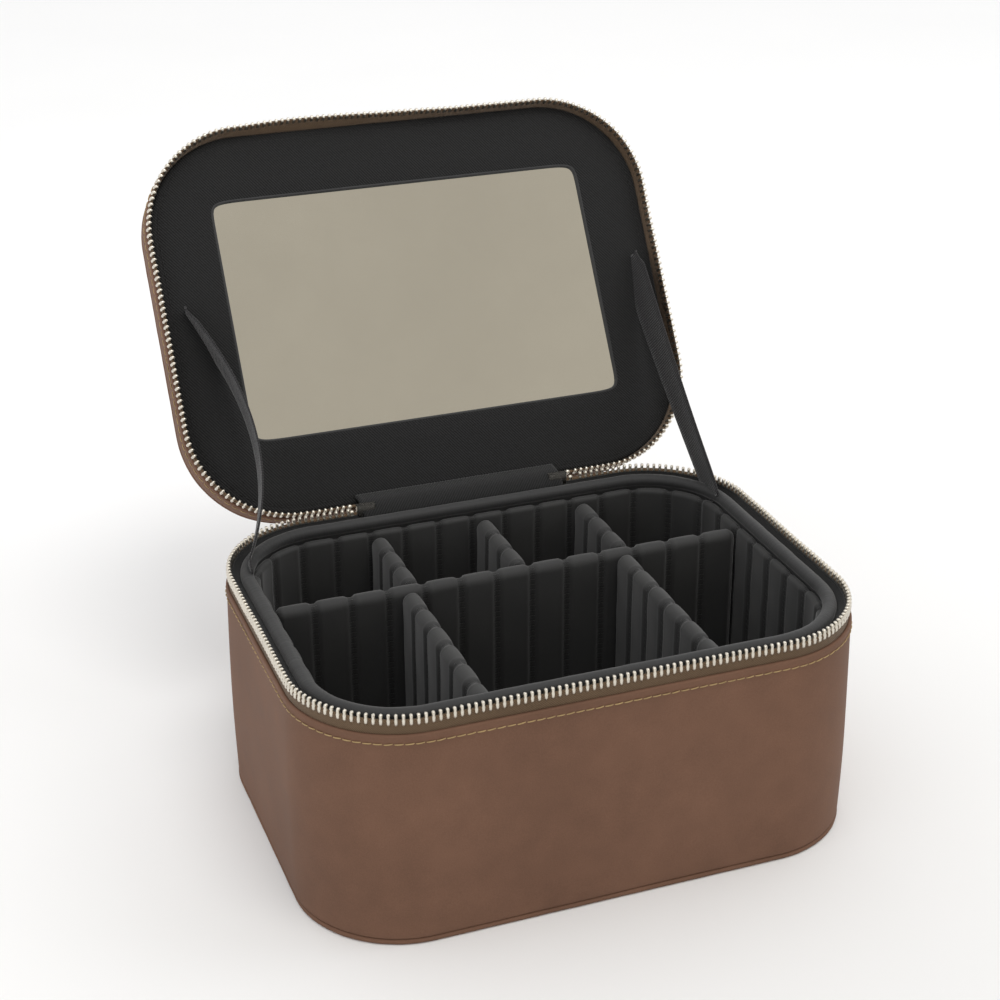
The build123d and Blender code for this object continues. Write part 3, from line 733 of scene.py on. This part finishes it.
# =============================== zipper ===============================
def zipper_tape(name, lid, replaced):
    """The tape's section: a beaded edge for the teeth and a flat band that runs in behind the leather."""
    along = np.linspace(0, rim_length(), 520, endpoint=False)
    drop = np.concatenate([[1.9, 2.1, 2.6, 3.2, 3.8, 4.3, 4.8], np.linspace(5.6, 13.9, 9)]) * mm
    bead = 0.55 * mm * np.exp(-((drop - 3.2 * mm) / (1.0 * mm)) ** 2)
    half = np.where(drop < 2.05 * mm, 0.25 * mm, 0.4 * mm) + bead
    inset = closed_section(chain_inset - half, chain_inset + half)
    both = closed_section(drop, drop)
    points = shell(along, inset[None] - tape_lean(along, both[None], lid), both[None], lid)
    show(name, grid_mesh(name, points), brown_tape, body_of(lid), [replaced])


zipper_tape("zipper_tape", False, "base_zipper_tape")
zipper_tape("lid_tape", True, "lid_zipper_tape")


def tooth_pattern(wide=1.0):
    """One zipper tooth: a rounded head that hooks, a waist, and two legs closed round the tape's bead, given
    as half widths at heights from its tip. (along, out, up), up pointing away from the other chain. Its eight
    sides stand 8 percent further out, so that their flats come near the given widths."""
    up = np.array([0.0, 0.35, 1.2, 2.1, 2.8, 4.9, 5.9]) * mm
    along = np.array([0.42, 0.8, 0.86, 0.74, 1.02, 1.02, 0.5]) * mm * wide
    out = np.array([0.45, 1.05, 1.4, 1.15, 1.45, 1.4, 0.7]) * mm
    angle = np.linspace(0, 2 * np.pi, 8, endpoint=False) + np.pi / 8
    across = np.cos(angle)[None] * along[:, None] * 1.08
    depth = np.sin(angle)[None] * out[:, None] * 1.08
    return np.stack([across, depth, np.broadcast_to(up[:, None], across.shape)], -1)


def zipper_teeth(name, lid, replaced, stops_name, stops_replaced):
    """The teeth, evenly spaced round the rim from one end of the chain to the other; the lid's stand half a
    pitch on, so that the two rows interlock. Each end has its clamp."""
    reach = rim_length(chain_inset)
    past_stop = 2.2 * mm
    first, last = chain_start + past_stop, reach - chain_start - past_stop
    count = int((last - first) / tooth_pitch)
    along = first + (np.arange(count) + (0.5 if lid else 0.0)) * tooth_pitch
    ends = np.array([chain_start, reach - chain_start])
    at_teeth = np.array([[3.0 * mm]])
    for piece, places, pattern, tip_drop, swap in (
        (name, along, tooth_pattern(), -tooth_reach, replaced),
        (stops_name, ends, tooth_pattern(1.5), stop_drop, stops_replaced),
    ):
        lean = tape_lean(places * rim_length() / reach, at_teeth, lid)
        spots = shell(places, chain_inset - lean, tip_drop, lid, measured_at=chain_inset)[:, 0]
        tangent, out, up = axes_at(places, lid, measured_at=chain_inset)
        mesh = repeated_mesh(piece, pattern, spots, tangent, out, up)
        show(piece, mesh, nickel, body_of(lid), [swap])


zipper_teeth("zipper_teeth", False, "base_zipper_teeth", "chain_ends", "base_end_stops")
zipper_teeth("lid_teeth", True, "lid_zipper_teeth", "lid_chain_ends", "lid_end_stops")


# =============================== rim lining of the base ===============================
def rim_binding():
    """The black band behind the teeth: it rolls over at the top, slopes in, and dives under the piping. Both
    its inset and its drop grow with powers of the distance across it, and half a sine rounds its top."""
    along = np.linspace(0, rim_length(), 520, endpoint=False)
    t = np.linspace(0, 1, 26)
    inset = (2.55 + 0.5 * smooth_step(t / 0.1) + 7.6 * smooth_step((t - 0.1) / 0.9) ** 1.1) * mm
    drop = (3.9 - 0.7 * np.sin(np.clip(t / 0.16, 0, 1) * np.pi) + 8.2 * t ** 1.6) * mm
    thick = 0.5 * mm
    slope_in, slope_down = np.gradient(inset), np.gradient(drop)
    size = np.hypot(slope_in, slope_down)
    side_in, side_down = slope_down / size * thick, -slope_in / size * thick
    section_in = closed_section(inset + side_in, inset - side_in)
    section_down = closed_section(drop + side_down, drop - side_down)
    at_teeth = np.array([[3.2 * mm]])
    lean = tape_lean(along, at_teeth, False) * np.exp(-(section_in[None] - 2.5 * mm) / (3 * mm))
    waves = soft_waves(along[:, None], 0.0, 0.12 * mm, 0.05)
    points = shell(along, section_in[None] - lean + waves, section_down[None], False)
    mesh = grid_mesh("rim_band", points)
    show("rim_band", mesh, binding_twill, "base", ["base_rim_binding"])


rim_binding()
piping = corded_ring("rim_piping", 11.2 * mm, 4.9 * mm, (3.7 * mm, 3.3 * mm), False, piping_cloth,
                     "base_piping", 0.1 * mm, tail=2.4 * mm, count=640, sides=28)


# =============================== padded linings ===============================
def channel_rise(phase, pitch):
    """How far the padding stands, 0 in a sewn groove and 1 on a rib's crown; phase counts channels."""
    from_groove = (0.5 - np.abs(phase - np.floor(phase) - 0.5)) * pitch
    shoulder = smooth_step((from_groove - 0.3 * channel_width) / (0.55 * channel_width))
    return 0.78 * shoulder + 0.22 * shoulder * np.sin(np.pi * (phase - np.floor(phase)))


def ribbed_lining():
    """The padded wall round the inside: its section has a rounded top, a half circle, and its face and top
    sink in each groove by the channel's depth times 1 - rise."""
    ring = rim_length(liner_face)
    channels = round(ring / channel_pitch)
    per_channel = 18
    count = channels * per_channel
    along = np.arange(count) * ring / count
    phase = np.arange(count) / per_channel
    rise = channel_rise(phase, ring / channels)[:, None]
    back, face, top = liner_back, liner_face, rim_z - liner_high.z
    foot = rim_z - liner_low.z
    bend = np.linspace(0, np.pi, 13)
    half = (face - back) / 2
    section_in = np.concatenate([[back, back], back + half - half * np.cos(bend),
                                 np.full(34, face), [face - 1 * mm]])
    section_down = np.concatenate([[foot, top + 8 * mm], top + half - half * np.sin(bend),
                                   np.linspace(top + half + 1 * mm, foot - 1 * mm, 34), [foot]])
    facing = smooth_step((section_in - back - half * 0.4) / (half * 1.2))
    topping = np.exp(-((section_down - top) / (2.6 * mm)) ** 2)
    inset = section_in[None] - (1 - rise) * channel_depth * facing[None]
    inset = inset + soft_waves(along[:, None], section_down[None], 0.2 * mm, 0.045) * facing[None]
    drop = section_down[None] + (1 - rise) * channel_top_dip * topping[None]
    points = shell(along, inset, drop, False, measured_at=liner_face)
    mesh = grid_mesh("ribbed_wall", points, row_counts=np.arange(count + 1) / per_channel)
    made = show("ribbed_wall", mesh, padded_cloth, "base", ["ribbed_wall_lining"])


ribbed_lining()


def divider(node):
    """A padded partition in its CAD box: a loop up one face, over the round top and down the other, carried
    from end to end; both faces and the top sink in each groove, and the ends draw in as quarter circles."""
    low, high = (np.array(place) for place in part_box(node))
    way = 0 if high[0] - low[0] > high[1] - low[1] else 1
    length, thick = (high - low)[way], (high - low)[1 - way]
    tall = high[2] - low[2]
    channels = max(1, round(length / channel_pitch))
    count = channels * 20 + 1
    t = np.linspace(0, 1, count)
    rise = channel_rise(t * channels, length / channels)[:, None]
    half = thick / 2
    up_side = np.linspace(0, tall - half, 26)
    arc = np.linspace(0, np.pi, 13)[1:-1]
    across = np.concatenate([np.full(26, half), half * np.cos(arc),
                             np.full(26, -half), np.linspace(-half, half, 8)[1:-1]])
    up = np.concatenate([up_side, tall - half + half * np.sin(arc), up_side[::-1], np.zeros(6)])
    ends = np.sqrt(np.clip(1 - (1 - np.clip(np.minimum(t, 1 - t) * length / (2.6 * mm), 0, 1)) ** 2, 0, 1))
    slim = 0.72 + 0.28 * ends[:, None]
    sunk = 1 - (1 - rise) * channel_depth / half
    foot_hold = 1 - 0.12 * np.exp(-up / (4 * mm))[None]
    wobble = 1 + soft_waves(t[:, None] * length, up[None], 0.035, 0.05)
    side = across[None] * sunk * slim * foot_hold * np.where(np.abs(across) < half, 1, wobble - 0.02)
    over = smooth_step((up - tall + 2 * half) / (2 * half))
    height = up[None] - ((1 - rise) * channel_top_dip + (1 - ends[:, None]) * 1.5 * mm) * over[None]
    centre = (low + high) / 2
    points = np.zeros((count, len(across), 3))
    points[..., way] = low[way] + t[:, None] * length
    points[..., 1 - way] = centre[1 - way] + side
    points[..., 2] = low[2] + height
    name = node + "_pad"
    mesh = grid_mesh(name, points, False, caps=True, row_counts=t * channels)
    show(name, mesh, padded_cloth, node + "_panel", [node])


for node in ("long_divider", "front_divider_left", "front_divider_right",
             "back_divider_left", "back_divider_middle", "back_divider_right"):
    divider(node)


def floor_pad():
    """The quilted floor: a sheet inside the ribbed wall whose top sinks in grooves that run front to back."""
    along = np.linspace(0, rim_length(liner_back), 560, endpoint=False)
    share = np.concatenate([np.linspace(0.02, 0.9, 60), 0.9 + 0.1 * np.sin(np.linspace(0.1, np.pi / 2, 8))])
    rim = shell(along, liner_back + 0.2 * mm, 0.0, False, measured_at=liner_back)[:, 0]
    points = rim[None] * np.concatenate([share, share[::-1]])[:, None, None]
    rise = channel_rise(points[: len(share), :, 0] / channel_pitch, channel_pitch)
    thick = 5 * mm
    edge = np.sqrt(np.clip(1 - np.clip((share - 0.97) / 0.03, 0, 1) ** 2, 0, 1))[:, None]
    points[: len(share), :, 2] = pad_top - thick / 2 + thick / 2 * edge - (1 - rise) * 1.2 * mm
    points[len(share):, :, 2] = (pad_top - thick / 2 - thick / 2 * edge)[::-1]
    mesh = grid_mesh("floor_quilt", points, False, caps=True)
    lain = np.concatenate([points.reshape(-1, 3), [points[0].mean(0), points[-1].mean(0)]])
    lay_flat(mesh, np.stack([lain[:, 0] / channel_pitch, lain[:, 1]], -1))
    show("floor_quilt", mesh, padded_cloth, "base", ["floor_pad"])


floor_pad()


# =============================== lid lining and mirror ===============================
def window_edge(angle, grow):
    """The mirror's window at compass angles about its middle: a rectangle with tight round corners, from
    (|cos|/a)^n + (|sin|/b)^n = 1/r^n."""
    a, b = mirror_half + grow
    power = 26.0
    reach = ((np.abs(np.cos(angle)) / a) ** power + (np.abs(np.sin(angle)) / b) ** power) ** (-1 / power)
    return mirror_middle + np.stack([np.cos(angle), np.sin(angle)], -1) * reach[..., None]


def lid_lining():
    """The cloth panel round the mirror: rings that go from the window's edge to the lid's wall, with a rolled
    edge at the window, a row sewn 4 mm from the wall, and a slight crown between."""
    count = 720
    along = np.linspace(0, rim_length(), count, endpoint=False)
    outer = shell(along, 2.3 * mm, 0.0, False)[:, 0, :2]
    angle = np.arctan2(outer[:, 1] - mirror_middle[1], outer[:, 0])
    inner = window_edge(angle, 0.0)
    share = np.concatenate([0.04 * (1 - np.cos(np.linspace(0, np.pi / 2, 7))), np.linspace(0.07, 0.93, 30),
                            0.93 + 0.07 * np.sin(np.linspace(0.15, np.pi / 2, 9))])
    flat = inner[None] * (1 - share)[:, None, None] + outer[None] * share[:, None, None]
    from_wall = np.linalg.norm(outer[None] - flat, axis=2)
    from_window = np.linalg.norm(flat - inner[None], axis=2)
    rolled = 1.0 * mm * (np.exp(-from_window / (0.7 * mm)) + np.exp(-from_wall / (0.6 * mm)))
    sewn = 0.35 * mm * np.exp(-((from_wall - 4 * mm) / (0.8 * mm)) ** 2)
    crown = 0.6 * mm * smooth_step(from_wall / (14 * mm)) * smooth_step(from_window / (12 * mm))
    waves = soft_waves(flat[..., 0], flat[..., 1], 0.12 * mm, 0.07)
    face = lining_drop + rolled + sewn - crown + waves
    back = np.full_like(face, lining_drop + 1.25 * mm)
    points = np.concatenate([np.concatenate([flat, (rim_z + face)[..., None]], -1),
                             np.concatenate([flat, (rim_z + back)[..., None]], -1)[::-1]])
    mesh = grid_mesh("lid_lining", swing(points, True))
    lay_flat(mesh, points.reshape(-1, 3)[:, :2])
    made = show("lid_lining", mesh, lining_twill, "lid", ["lid_lining_panel"])

    seam = 6.5 * mm
    ring = rim_length(seam)
    number = round(ring / (3.4 * mm))
    row = np.arange(number) * ring / number
    places = shell(row, seam, lining_drop + 0.1 * mm, True, measured_at=seam)[:, 0]
    tangent, out, deeper = axes_at(row, True, measured_at=seam)
    pattern = stitch_pattern(2.7 * mm, 0.2 * mm, 0.14 * mm)
    mesh = repeated_mesh("lining_stitches", pattern, places, tangent, -deeper, out)
    show("lining_stitches", mesh, black_thread, "lid")


def mirror_binding():
    """The thin black binding round the mirror: a flattened bead that follows the window's edge."""
    angle = np.linspace(0, 2 * np.pi, 900, endpoint=False)
    turn = np.linspace(0, 2 * np.pi, 10, endpoint=False)
    middle = window_edge(angle, 0.4 * mm)
    ahead = np.roll(middle, -1, 0) - np.roll(middle, 1, 0)
    sideways = np.stack([ahead[:, 1], -ahead[:, 0]], -1) / np.linalg.norm(ahead, axis=1)[:, None]
    flat = middle[:, None] + sideways[:, None] * (0.95 * mm * np.cos(turn))[None, :, None]
    height = np.broadcast_to(rim_z + lining_drop + 0.75 * mm - 0.8 * mm * np.sin(turn), flat.shape[:2])
    points = swing(np.concatenate([flat, height[..., None]], -1), True)
    show("mirror_binding", grid_mesh("mirror_binding", points), piping_cloth, "lid")


lid_lining()
mirror_binding()


# =============================== hinge strips ===============================
def curve_through(points, count):
    """A cubic Bezier line through four control points."""
    t = np.linspace(0, 1, count)[:, None]
    a, b, c, d = (np.array(p) for p in points)
    return (1 - t) ** 3 * a + 3 * t * (1 - t) ** 2 * b + 3 * t * t * (1 - t) * c + t ** 3 * d


def lid_yz(inset, drop):
    """The (y, z) of a point of the lid's back wall, swung open."""
    return tuple(swing(np.array([0.0, half_depth - inset, rim_z + drop]), True)[1:])


def bent_strip(name, controls, half_length, thick, material, replaced):
    """A strip across the middle of the back: a curved line in Y and Z with a thickness, carried along X, its
    ends eased in. It bends between the base and the lid."""
    line = curve_through(controls, 28)
    ahead = np.gradient(line, axis=0)
    side = np.stack([-ahead[:, 1], ahead[:, 0]], -1) / np.linalg.norm(ahead, axis=1)[:, None] * thick / 2
    section = closed_section(line + side, line - side)
    x = np.linspace(-half_length, half_length, 70)
    ripple = soft_waves(x, 0.0, 0.12 * mm, 0.05)
    points = np.zeros((len(x), len(section), 3))
    points[..., 0] = x[:, None]
    points[..., 1] = section[None, :, 0] + ripple[:, None]
    points[..., 2] = section[None, :, 1]
    made = show(name, grid_mesh(name, points, False, caps=True), material, None, [replaced])
    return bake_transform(made)


sewn_in = leather_edge + 1.5 * mm
outer_bend = [(half_depth - 0.2 * mm, rim_z - sewn_in), (half_depth + 0.2 * mm, rim_z + 0.5 * mm),
              lid_yz(-0.4 * mm, 1.5 * mm), lid_yz(0.2 * mm, sewn_in)]
bent_strip("back_hinge_leather", outer_bend, 57 * mm, 1.3 * mm, brown_leather,
           "hinge_leather")
cloth_half = 60 * mm
inner_bend = [(half_depth - 7.4 * mm, rim_z - 6.5 * mm), (half_depth - 2.5 * mm, rim_z + 3.0 * mm),
              lid_yz(2.5 * mm, 2.0 * mm), lid_yz(7.0 * mm, 8.6 * mm)]
hinge_cloth = bent_strip("hinge_cloth", inner_bend, cloth_half, 1.0 * mm, lining_twill,
                         "hinge_lining")
bend_length = float(np.linalg.norm(np.diff(curve_through(inner_bend, 28), axis=0), axis=1).sum())


# =============================== stay straps ===============================
def stay_strap(side, name, slack, twist, node):
    """Grosgrain tape from the groove of the rim to the lid's lining: a line bowed inwards by slack times
    4t(1-t), whose flat section turns by twist degrees on the way up, its ends tucked in."""
    x = side * (half_width - strap_inset)
    foot = np.array([x, strap_foot_y, rim_z - 1.2 * mm])
    head = swing(np.array([x, hinge[1] - strap_reach, rim_z + lining_drop - 0.6 * mm]), True)
    t = np.linspace(-0.05, 1.012, 90)
    run = head - foot
    length = np.linalg.norm(run)
    forward = run / length
    bow = slack * 4 * np.clip(t, 0, 1) * (1 - np.clip(t, 0, 1))
    sag = 0.25 * bow
    line = foot + run * t[:, None] + np.stack([-side * bow, -sag, -0.4 * sag], -1)
    turn = np.radians(twist) * smooth_step(t)
    flat_way = np.cross(forward, [1.0, 0, 0])
    width = flat_way * np.cos(turn)[:, None] + np.array([side * 1.0, 0, 0]) * np.sin(turn)[:, None]
    normal = np.cross(np.gradient(line, axis=0), width)
    normal /= np.linalg.norm(normal, axis=1)[:, None]
    half = strap_half_wide * (1 - 0.10 * np.exp(-t / 0.06) - 0.35 * smooth_step((t - 0.93) / 0.07))
    across = np.array([-1, -0.97, -0.6, -0.2, 0.2, 0.6, 0.97, 1])
    thick = np.array([0.3, 0.5, 0.5, 0.5, 0.5, 0.5, 0.5, 0.3]) * mm
    cup = 0.5 * mm * (across ** 2)
    middle = line[:, None] + width[:, None] * (half[:, None] * across)[..., None]
    upper = middle + normal[:, None] * (cup + thick)[None, :, None]
    lower = middle + normal[:, None] * (cup - thick)[None, :, None]
    points = np.concatenate([upper, lower[:, ::-1]], 1)
    mesh = grid_mesh(name, points, False, caps=True)
    made = show(name, mesh, strap_weave, "base", [node])
    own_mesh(made)


stay_strap(1, "strap_right", 1.0 * mm, -16, "stay_strap_right")
stay_strap(-1, "strap_left", 20 * mm, -6, "stay_strap_left")


# =============================== zipper pulls and carry handle ===============================
def lid_spot(x, y, rise):
    """A point above the closed lid's top panel, x and y from its middle, swung open with the lid."""
    x, y, rise = np.broadcast_arrays(x, y, rise)
    return swing(np.stack([x, y, rim_z + lid_height + rise], -1), True)


def tube(line, wide_way, thick_way, wide, thick, power):
    """A closed section carried along a line: |a/wide|^n + |b/thick|^n = 1, whose two half sizes follow the
    line."""
    angle = np.linspace(0, 2 * np.pi, 32, endpoint=False)
    c, s = np.cos(angle), np.sin(angle)
    wide, thick = (np.broadcast_to(half, len(line))[:, None, None] for half in (wide, thick))
    a = (np.sign(c) * np.abs(c) ** (2 / power))[None, :, None] * wide
    b = (np.sign(s) * np.abs(s) ** (2 / power))[None, :, None] * thick
    return line[:, None] + a * wide_way[:, None] + b * thick_way[:, None]


def round_ended(t, length, radius):
    """Half width share of a strip with round corners: 1 in the middle, falling as a quarter circle at its
    ends."""
    near = np.clip(1 - np.minimum(t, length - t) / radius, 0, 1)
    return np.sqrt(np.clip(1 - near ** 2, 0, 1))


def eased(length, count, end):
    """Places from 0 to length, close together within end of each end."""
    bend = end * (1 - np.cos(np.linspace(0.12, np.pi / 2, 9)))
    return np.concatenate([bend[:-1], np.linspace(end, length - end, count), length - bend[::-1][1:]])


def sewn_line(name, line, normal, body, pitch=3.0 * mm, length=2.2 * mm, radius=0.2 * mm):
    """Stitches spaced evenly along a line that lies on a surface with that normal."""
    steps = np.concatenate([[0], np.cumsum(np.linalg.norm(np.diff(line, axis=0), axis=1))])
    at = (np.arange(int(steps[-1] / pitch)) + 0.5) * pitch
    places = np.stack([np.interp(at, steps, line[:, k]) for k in range(3)], -1)
    ahead = np.stack([np.interp(at + 0.2 * mm, steps, line[:, k]) for k in range(3)], -1) - places
    tangent = ahead / np.maximum(np.linalg.norm(ahead, axis=1), 1e-9)[:, None]
    out = np.broadcast_to(normal, tangent.shape)
    pattern = stitch_pattern(length, radius, 0.12 * mm)
    mesh = repeated_mesh(name, pattern, places, tangent, out, np.cross(tangent, out))
    show(name, mesh, tan_thread, body)


def leather_strip(name, points, body, replaced=()):
    """A closed strip of leather whose rows run from one end to the other."""
    show(name, grid_mesh(name, points, False, caps=True), brown_leather, body, replaced)


x_way, y_way, z_way = np.eye(3)
lid_normal = swing(hinge + z_way, True) - hinge
lid_back = swing(hinge + y_way, True) - hinge

for side, pivot in pull_pivots.items():
    low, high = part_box("pull_tab_" + side)
    length, half_wide, half_thick = high.z - low.z, (high.x - low.x) / 2, (high.y - low.y) / 2
    t = eased(length, 40, 2.2 * mm)
    neck = 1 - 0.42 * (1 - smooth_step((t - 3.0 * mm) / (2.4 * mm)))
    line = np.stack([np.full_like(t, pivot[0]), np.full_like(t, (low.y + high.y) / 2), high.z - t], -1)
    ways = np.broadcast_to(x_way, line.shape), np.broadcast_to(y_way, line.shape)
    rounded = round_ended(t, length, 2.4 * mm)
    wide, thick = half_wide * neck * (0.55 + 0.45 * rounded), half_thick * (0.6 + 0.4 * rounded)
    points = tube(line, *ways, wide, thick, 4.5)
    leather_strip("pull_leather_" + side, points, side + "_zipper_pull", ["pull_tab_" + side])
    run = np.linspace(5.6 * mm, length - 2.0 * mm, 30)
    edge = half_wide - 1.7 * mm
    loop = [(-edge, d) for d in run] + [(edge, d) for d in run[::-1]]
    seam = np.array([[pivot[0] + dx, high.y + 0.02 * mm, high.z - d] for dx, d in loop])
    sewn_line("pull_stitches_" + side, seam, y_way, side + "_zipper_pull")

chape_half_wide, chape_length, chape_thick = 12 * mm, 42 * mm, 2 * mm
loop_half, loop_radius = 7.5 * mm, 2.7 * mm
handle_rise = (handle_pivot - lid_spot(0, 0, 0)) @ lid_normal
for name in ("left", "right"):
    x = (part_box("handle_tab_" + name)[0].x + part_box("handle_tab_" + name)[1].x) / 2
    t = eased(chape_length, 44, 4 * mm)
    line = lid_spot(x, t - chape_length / 2, chape_thick / 2)
    ways = np.broadcast_to(x_way, line.shape), np.broadcast_to(lid_normal, line.shape)
    rounded = round_ended(t, chape_length, 5 * mm)
    wide, thick = chape_half_wide * (0.6 + 0.4 * rounded), chape_thick / 2 * (0.7 + 0.3 * rounded)
    points = tube(line, *ways, wide, thick, 7.0)
    leather_strip("handle_tab_leather_" + name, points, "lid", ["handle_tab_" + name])
    turn = np.linspace(-0.25, np.pi + 0.25, 26)
    line = lid_spot(x, -loop_radius * np.cos(turn), handle_rise + loop_radius * np.sin(turn))
    outward = (line - handle_pivot) * [0, 1, 1]
    outward = outward / np.linalg.norm(outward, axis=1)[:, None]
    ways = np.broadcast_to(x_way, line.shape), outward
    leather_strip("handle_loop_leather_" + name, tube(line, *ways, loop_half, 0.95 * mm, 5.0), "lid")
    inner_wide, inner_long = chape_half_wide - 2 * mm, chape_length / 2 - 2 * mm
    round_turn = np.linspace(0, 2 * np.pi, 160)
    c, s = np.cos(round_turn), np.sin(round_turn)
    reach = ((np.abs(c) / inner_wide) ** 5 + (np.abs(s) / inner_long) ** 5) ** -0.2
    seam = lid_spot(x + reach * c, reach * s, chape_thick)
    sewn_line("handle_tab_stitches_" + name, seam, lid_normal, "lid")

rivet_x, rivet_y = np.array([-1, -1, 1, 1]) * handle_half_span, np.array([-15, 15, -15, 15]) * mm
rivet_places = lid_spot(rivet_x, rivet_y, chape_thick - 0.1 * mm)
rivet_radius, rivet_rise, tip_radius = 2.4 * mm, 1.0 * mm, 0.02 * mm
dome = np.linspace(0, np.pi / 2, 8)[:, None]
turn = np.linspace(0, 2 * np.pi, 16, endpoint=False)
rivet = np.stack([rivet_radius * np.cos(dome) * np.cos(turn), rivet_radius * np.cos(dome) * np.sin(turn),
                  np.broadcast_to(rivet_rise * np.sin(dome), (8, 16))], -1)
rivet[-1, :, :2] += tip_radius * np.stack([np.cos(turn), np.sin(turn)], -1)
rivet_ways = (np.broadcast_to(way, rivet_places.shape) for way in (x_way, lid_back, lid_normal))
show("rivet_heads", repeated_mesh("rivet_heads", rivet, rivet_places, *rivet_ways), bright_metal,
     "lid", ["handle_rivets"])


def carry_grip():
    """The rolled handle: an upright run, a quarter turn, a level run and the same again. Its section is flat
    where it wraps the rings and round in the hand."""
    low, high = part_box("handle_grip")
    reach, foot, bend = handle_half_span, low.z + 6 * mm, 18 * mm
    quarter = np.linspace(0, np.pi / 2, 16)
    upright = np.linspace(high.z - 0.3 * mm, foot + bend, 18)
    left = np.stack([np.full(18, -reach), upright], -1)
    turn_in = np.stack([-reach + bend - bend * np.cos(quarter), foot + bend - bend * np.sin(quarter)], -1)
    level = np.stack([np.linspace(-reach + bend, reach - bend, 60), np.full(60, foot)], -1)
    turn_out, right = (turn_in * [-1, 1])[::-1], (left * [-1, 1])[::-1]
    flat = np.concatenate([left, turn_in[1:], level[1:], turn_out[1:], right[1:]])
    ahead = np.gradient(flat, axis=0)
    ahead /= np.linalg.norm(ahead, axis=1)[:, None]
    line = np.stack([flat[:, 0], np.full(len(flat), handle_pivot[1]), flat[:, 1]], -1)
    wide_way = np.stack([-ahead[:, 1], np.zeros(len(flat)), ahead[:, 0]], -1)
    steps = np.concatenate([[0], np.cumsum(np.linalg.norm(np.diff(flat, axis=0), axis=1))])
    from_end = np.minimum(steps, steps[-1] - steps)
    swell = smooth_step((from_end - 5 * mm) / (9 * mm))
    end = round_ended(steps, steps[-1], 4 * mm)
    wide = (6.4 - 0.5 * swell) * mm * (0.62 + 0.38 * end)
    thick = (4.1 + 1.8 * swell) * mm * (0.35 + 0.65 * end)
    points = tube(line, wide_way, np.broadcast_to(y_way, line.shape), wide, thick, 2.3)
    leather_strip("rolled_grip", points, "carry_handle", ["handle_grip"])
    sewn = line[22:-22] - y_way * (5.95 * mm)
    sewn_line("grip_stitches", sewn, -y_way, "carry_handle", pitch=4 * mm, length=3 * mm, radius=0.24 * mm)


carry_grip()


# =============================== floor and light ===============================
def staged_plane(name, centre, normal, size, material):
    """A flat sheet of the studio, facing that way."""
    mesh = bpy.data.meshes.new(name)
    h = size / 2
    mesh.from_pydata([(-h, -h, 0), (h, -h, 0), (h, h, 0), (-h, h, 0)], [], [(0, 1, 2, 3)])
    mesh.materials.append(material)
    made = bpy.data.objects.new(name, mesh)
    facing = Vector(normal).to_track_quat("Z", "Y").to_matrix().to_4x4()
    made.matrix_world = Matrix.Translation(centre) @ facing
    bpy.context.scene.collection.objects.link(made)
    return made


def area_light(name, place, target, size, power, colour):
    """A round soft light, turned to face a target."""
    data = bpy.data.lights.new(name, "AREA")
    data.shape = "DISK"
    data.size = size
    data.energy = power
    data.color = colour
    made = bpy.data.objects.new(name, data)
    aim = (Vector(target) - Vector(place)).to_track_quat("-Z", "Y").to_matrix().to_4x4()
    made.matrix_world = Matrix.Translation(place) @ aim
    bpy.context.scene.collection.objects.link(made)


def paper_finish(name, colour):
    """Pale studio paper, almost even."""
    f = Finish(name)
    shade = f.ramp(f.noise(3, 2), (0.3, *shades(colour, 0.985)), (0.7, colour))
    return f.finish(shade, 0.9, Specular_IOR_Level=0.1)


def glowing(name, colour, strength):
    """A studio card that shows in the mirror: an even glow with slow cloudy shading."""
    f = Finish(name)
    cloud = f.noise(1.2, 2)
    shade = f.ramp(cloud, (0.3, *shades(colour, 0.85)), (0.7, colour))
    f.put(shade, f.shader.inputs["Emission Color"])
    return f.finish((0.0, 0.0, 0.0), Emission_Strength=strength)


paper = paper_finish("studio paper", (0.9, 0.9, 0.9))
staged_plane("floor", (0, 3, 0), (0, 0, 1), 14, paper)
mirror_spot = Vector(swing(np.array([0.0, mirror_middle[1], rim_z + lining_drop]), True))
look = Vector((0.30, -0.79, 0.525)).normalized()
card = staged_plane("mirror_card", mirror_spot + 1.3 * look, -look, 1.15,
                    glowing("card glow", (0.46, 0.42, 0.345), 1.0))
card.visible_camera = False

world = bpy.data.worlds.new("studio")
world.use_nodes = True
world.node_tree.nodes["Background"].inputs["Color"].default_value = (1.0, 1.0, 1.0, 1)
world.node_tree.nodes["Background"].inputs["Strength"].default_value = 1.0
bpy.context.scene.world = world
area_light("key", (0.15, -0.9, 2.3), (0, 0, 0.15), 1.2, 20, (1.0, 0.985, 0.96))
area_light("fill", (1.2, -0.4, 1.5), (0, 0, 0.15), 1.2, 4, (0.97, 0.985, 1.0))
bpy.context.scene.view_settings.view_transform = "Standard"
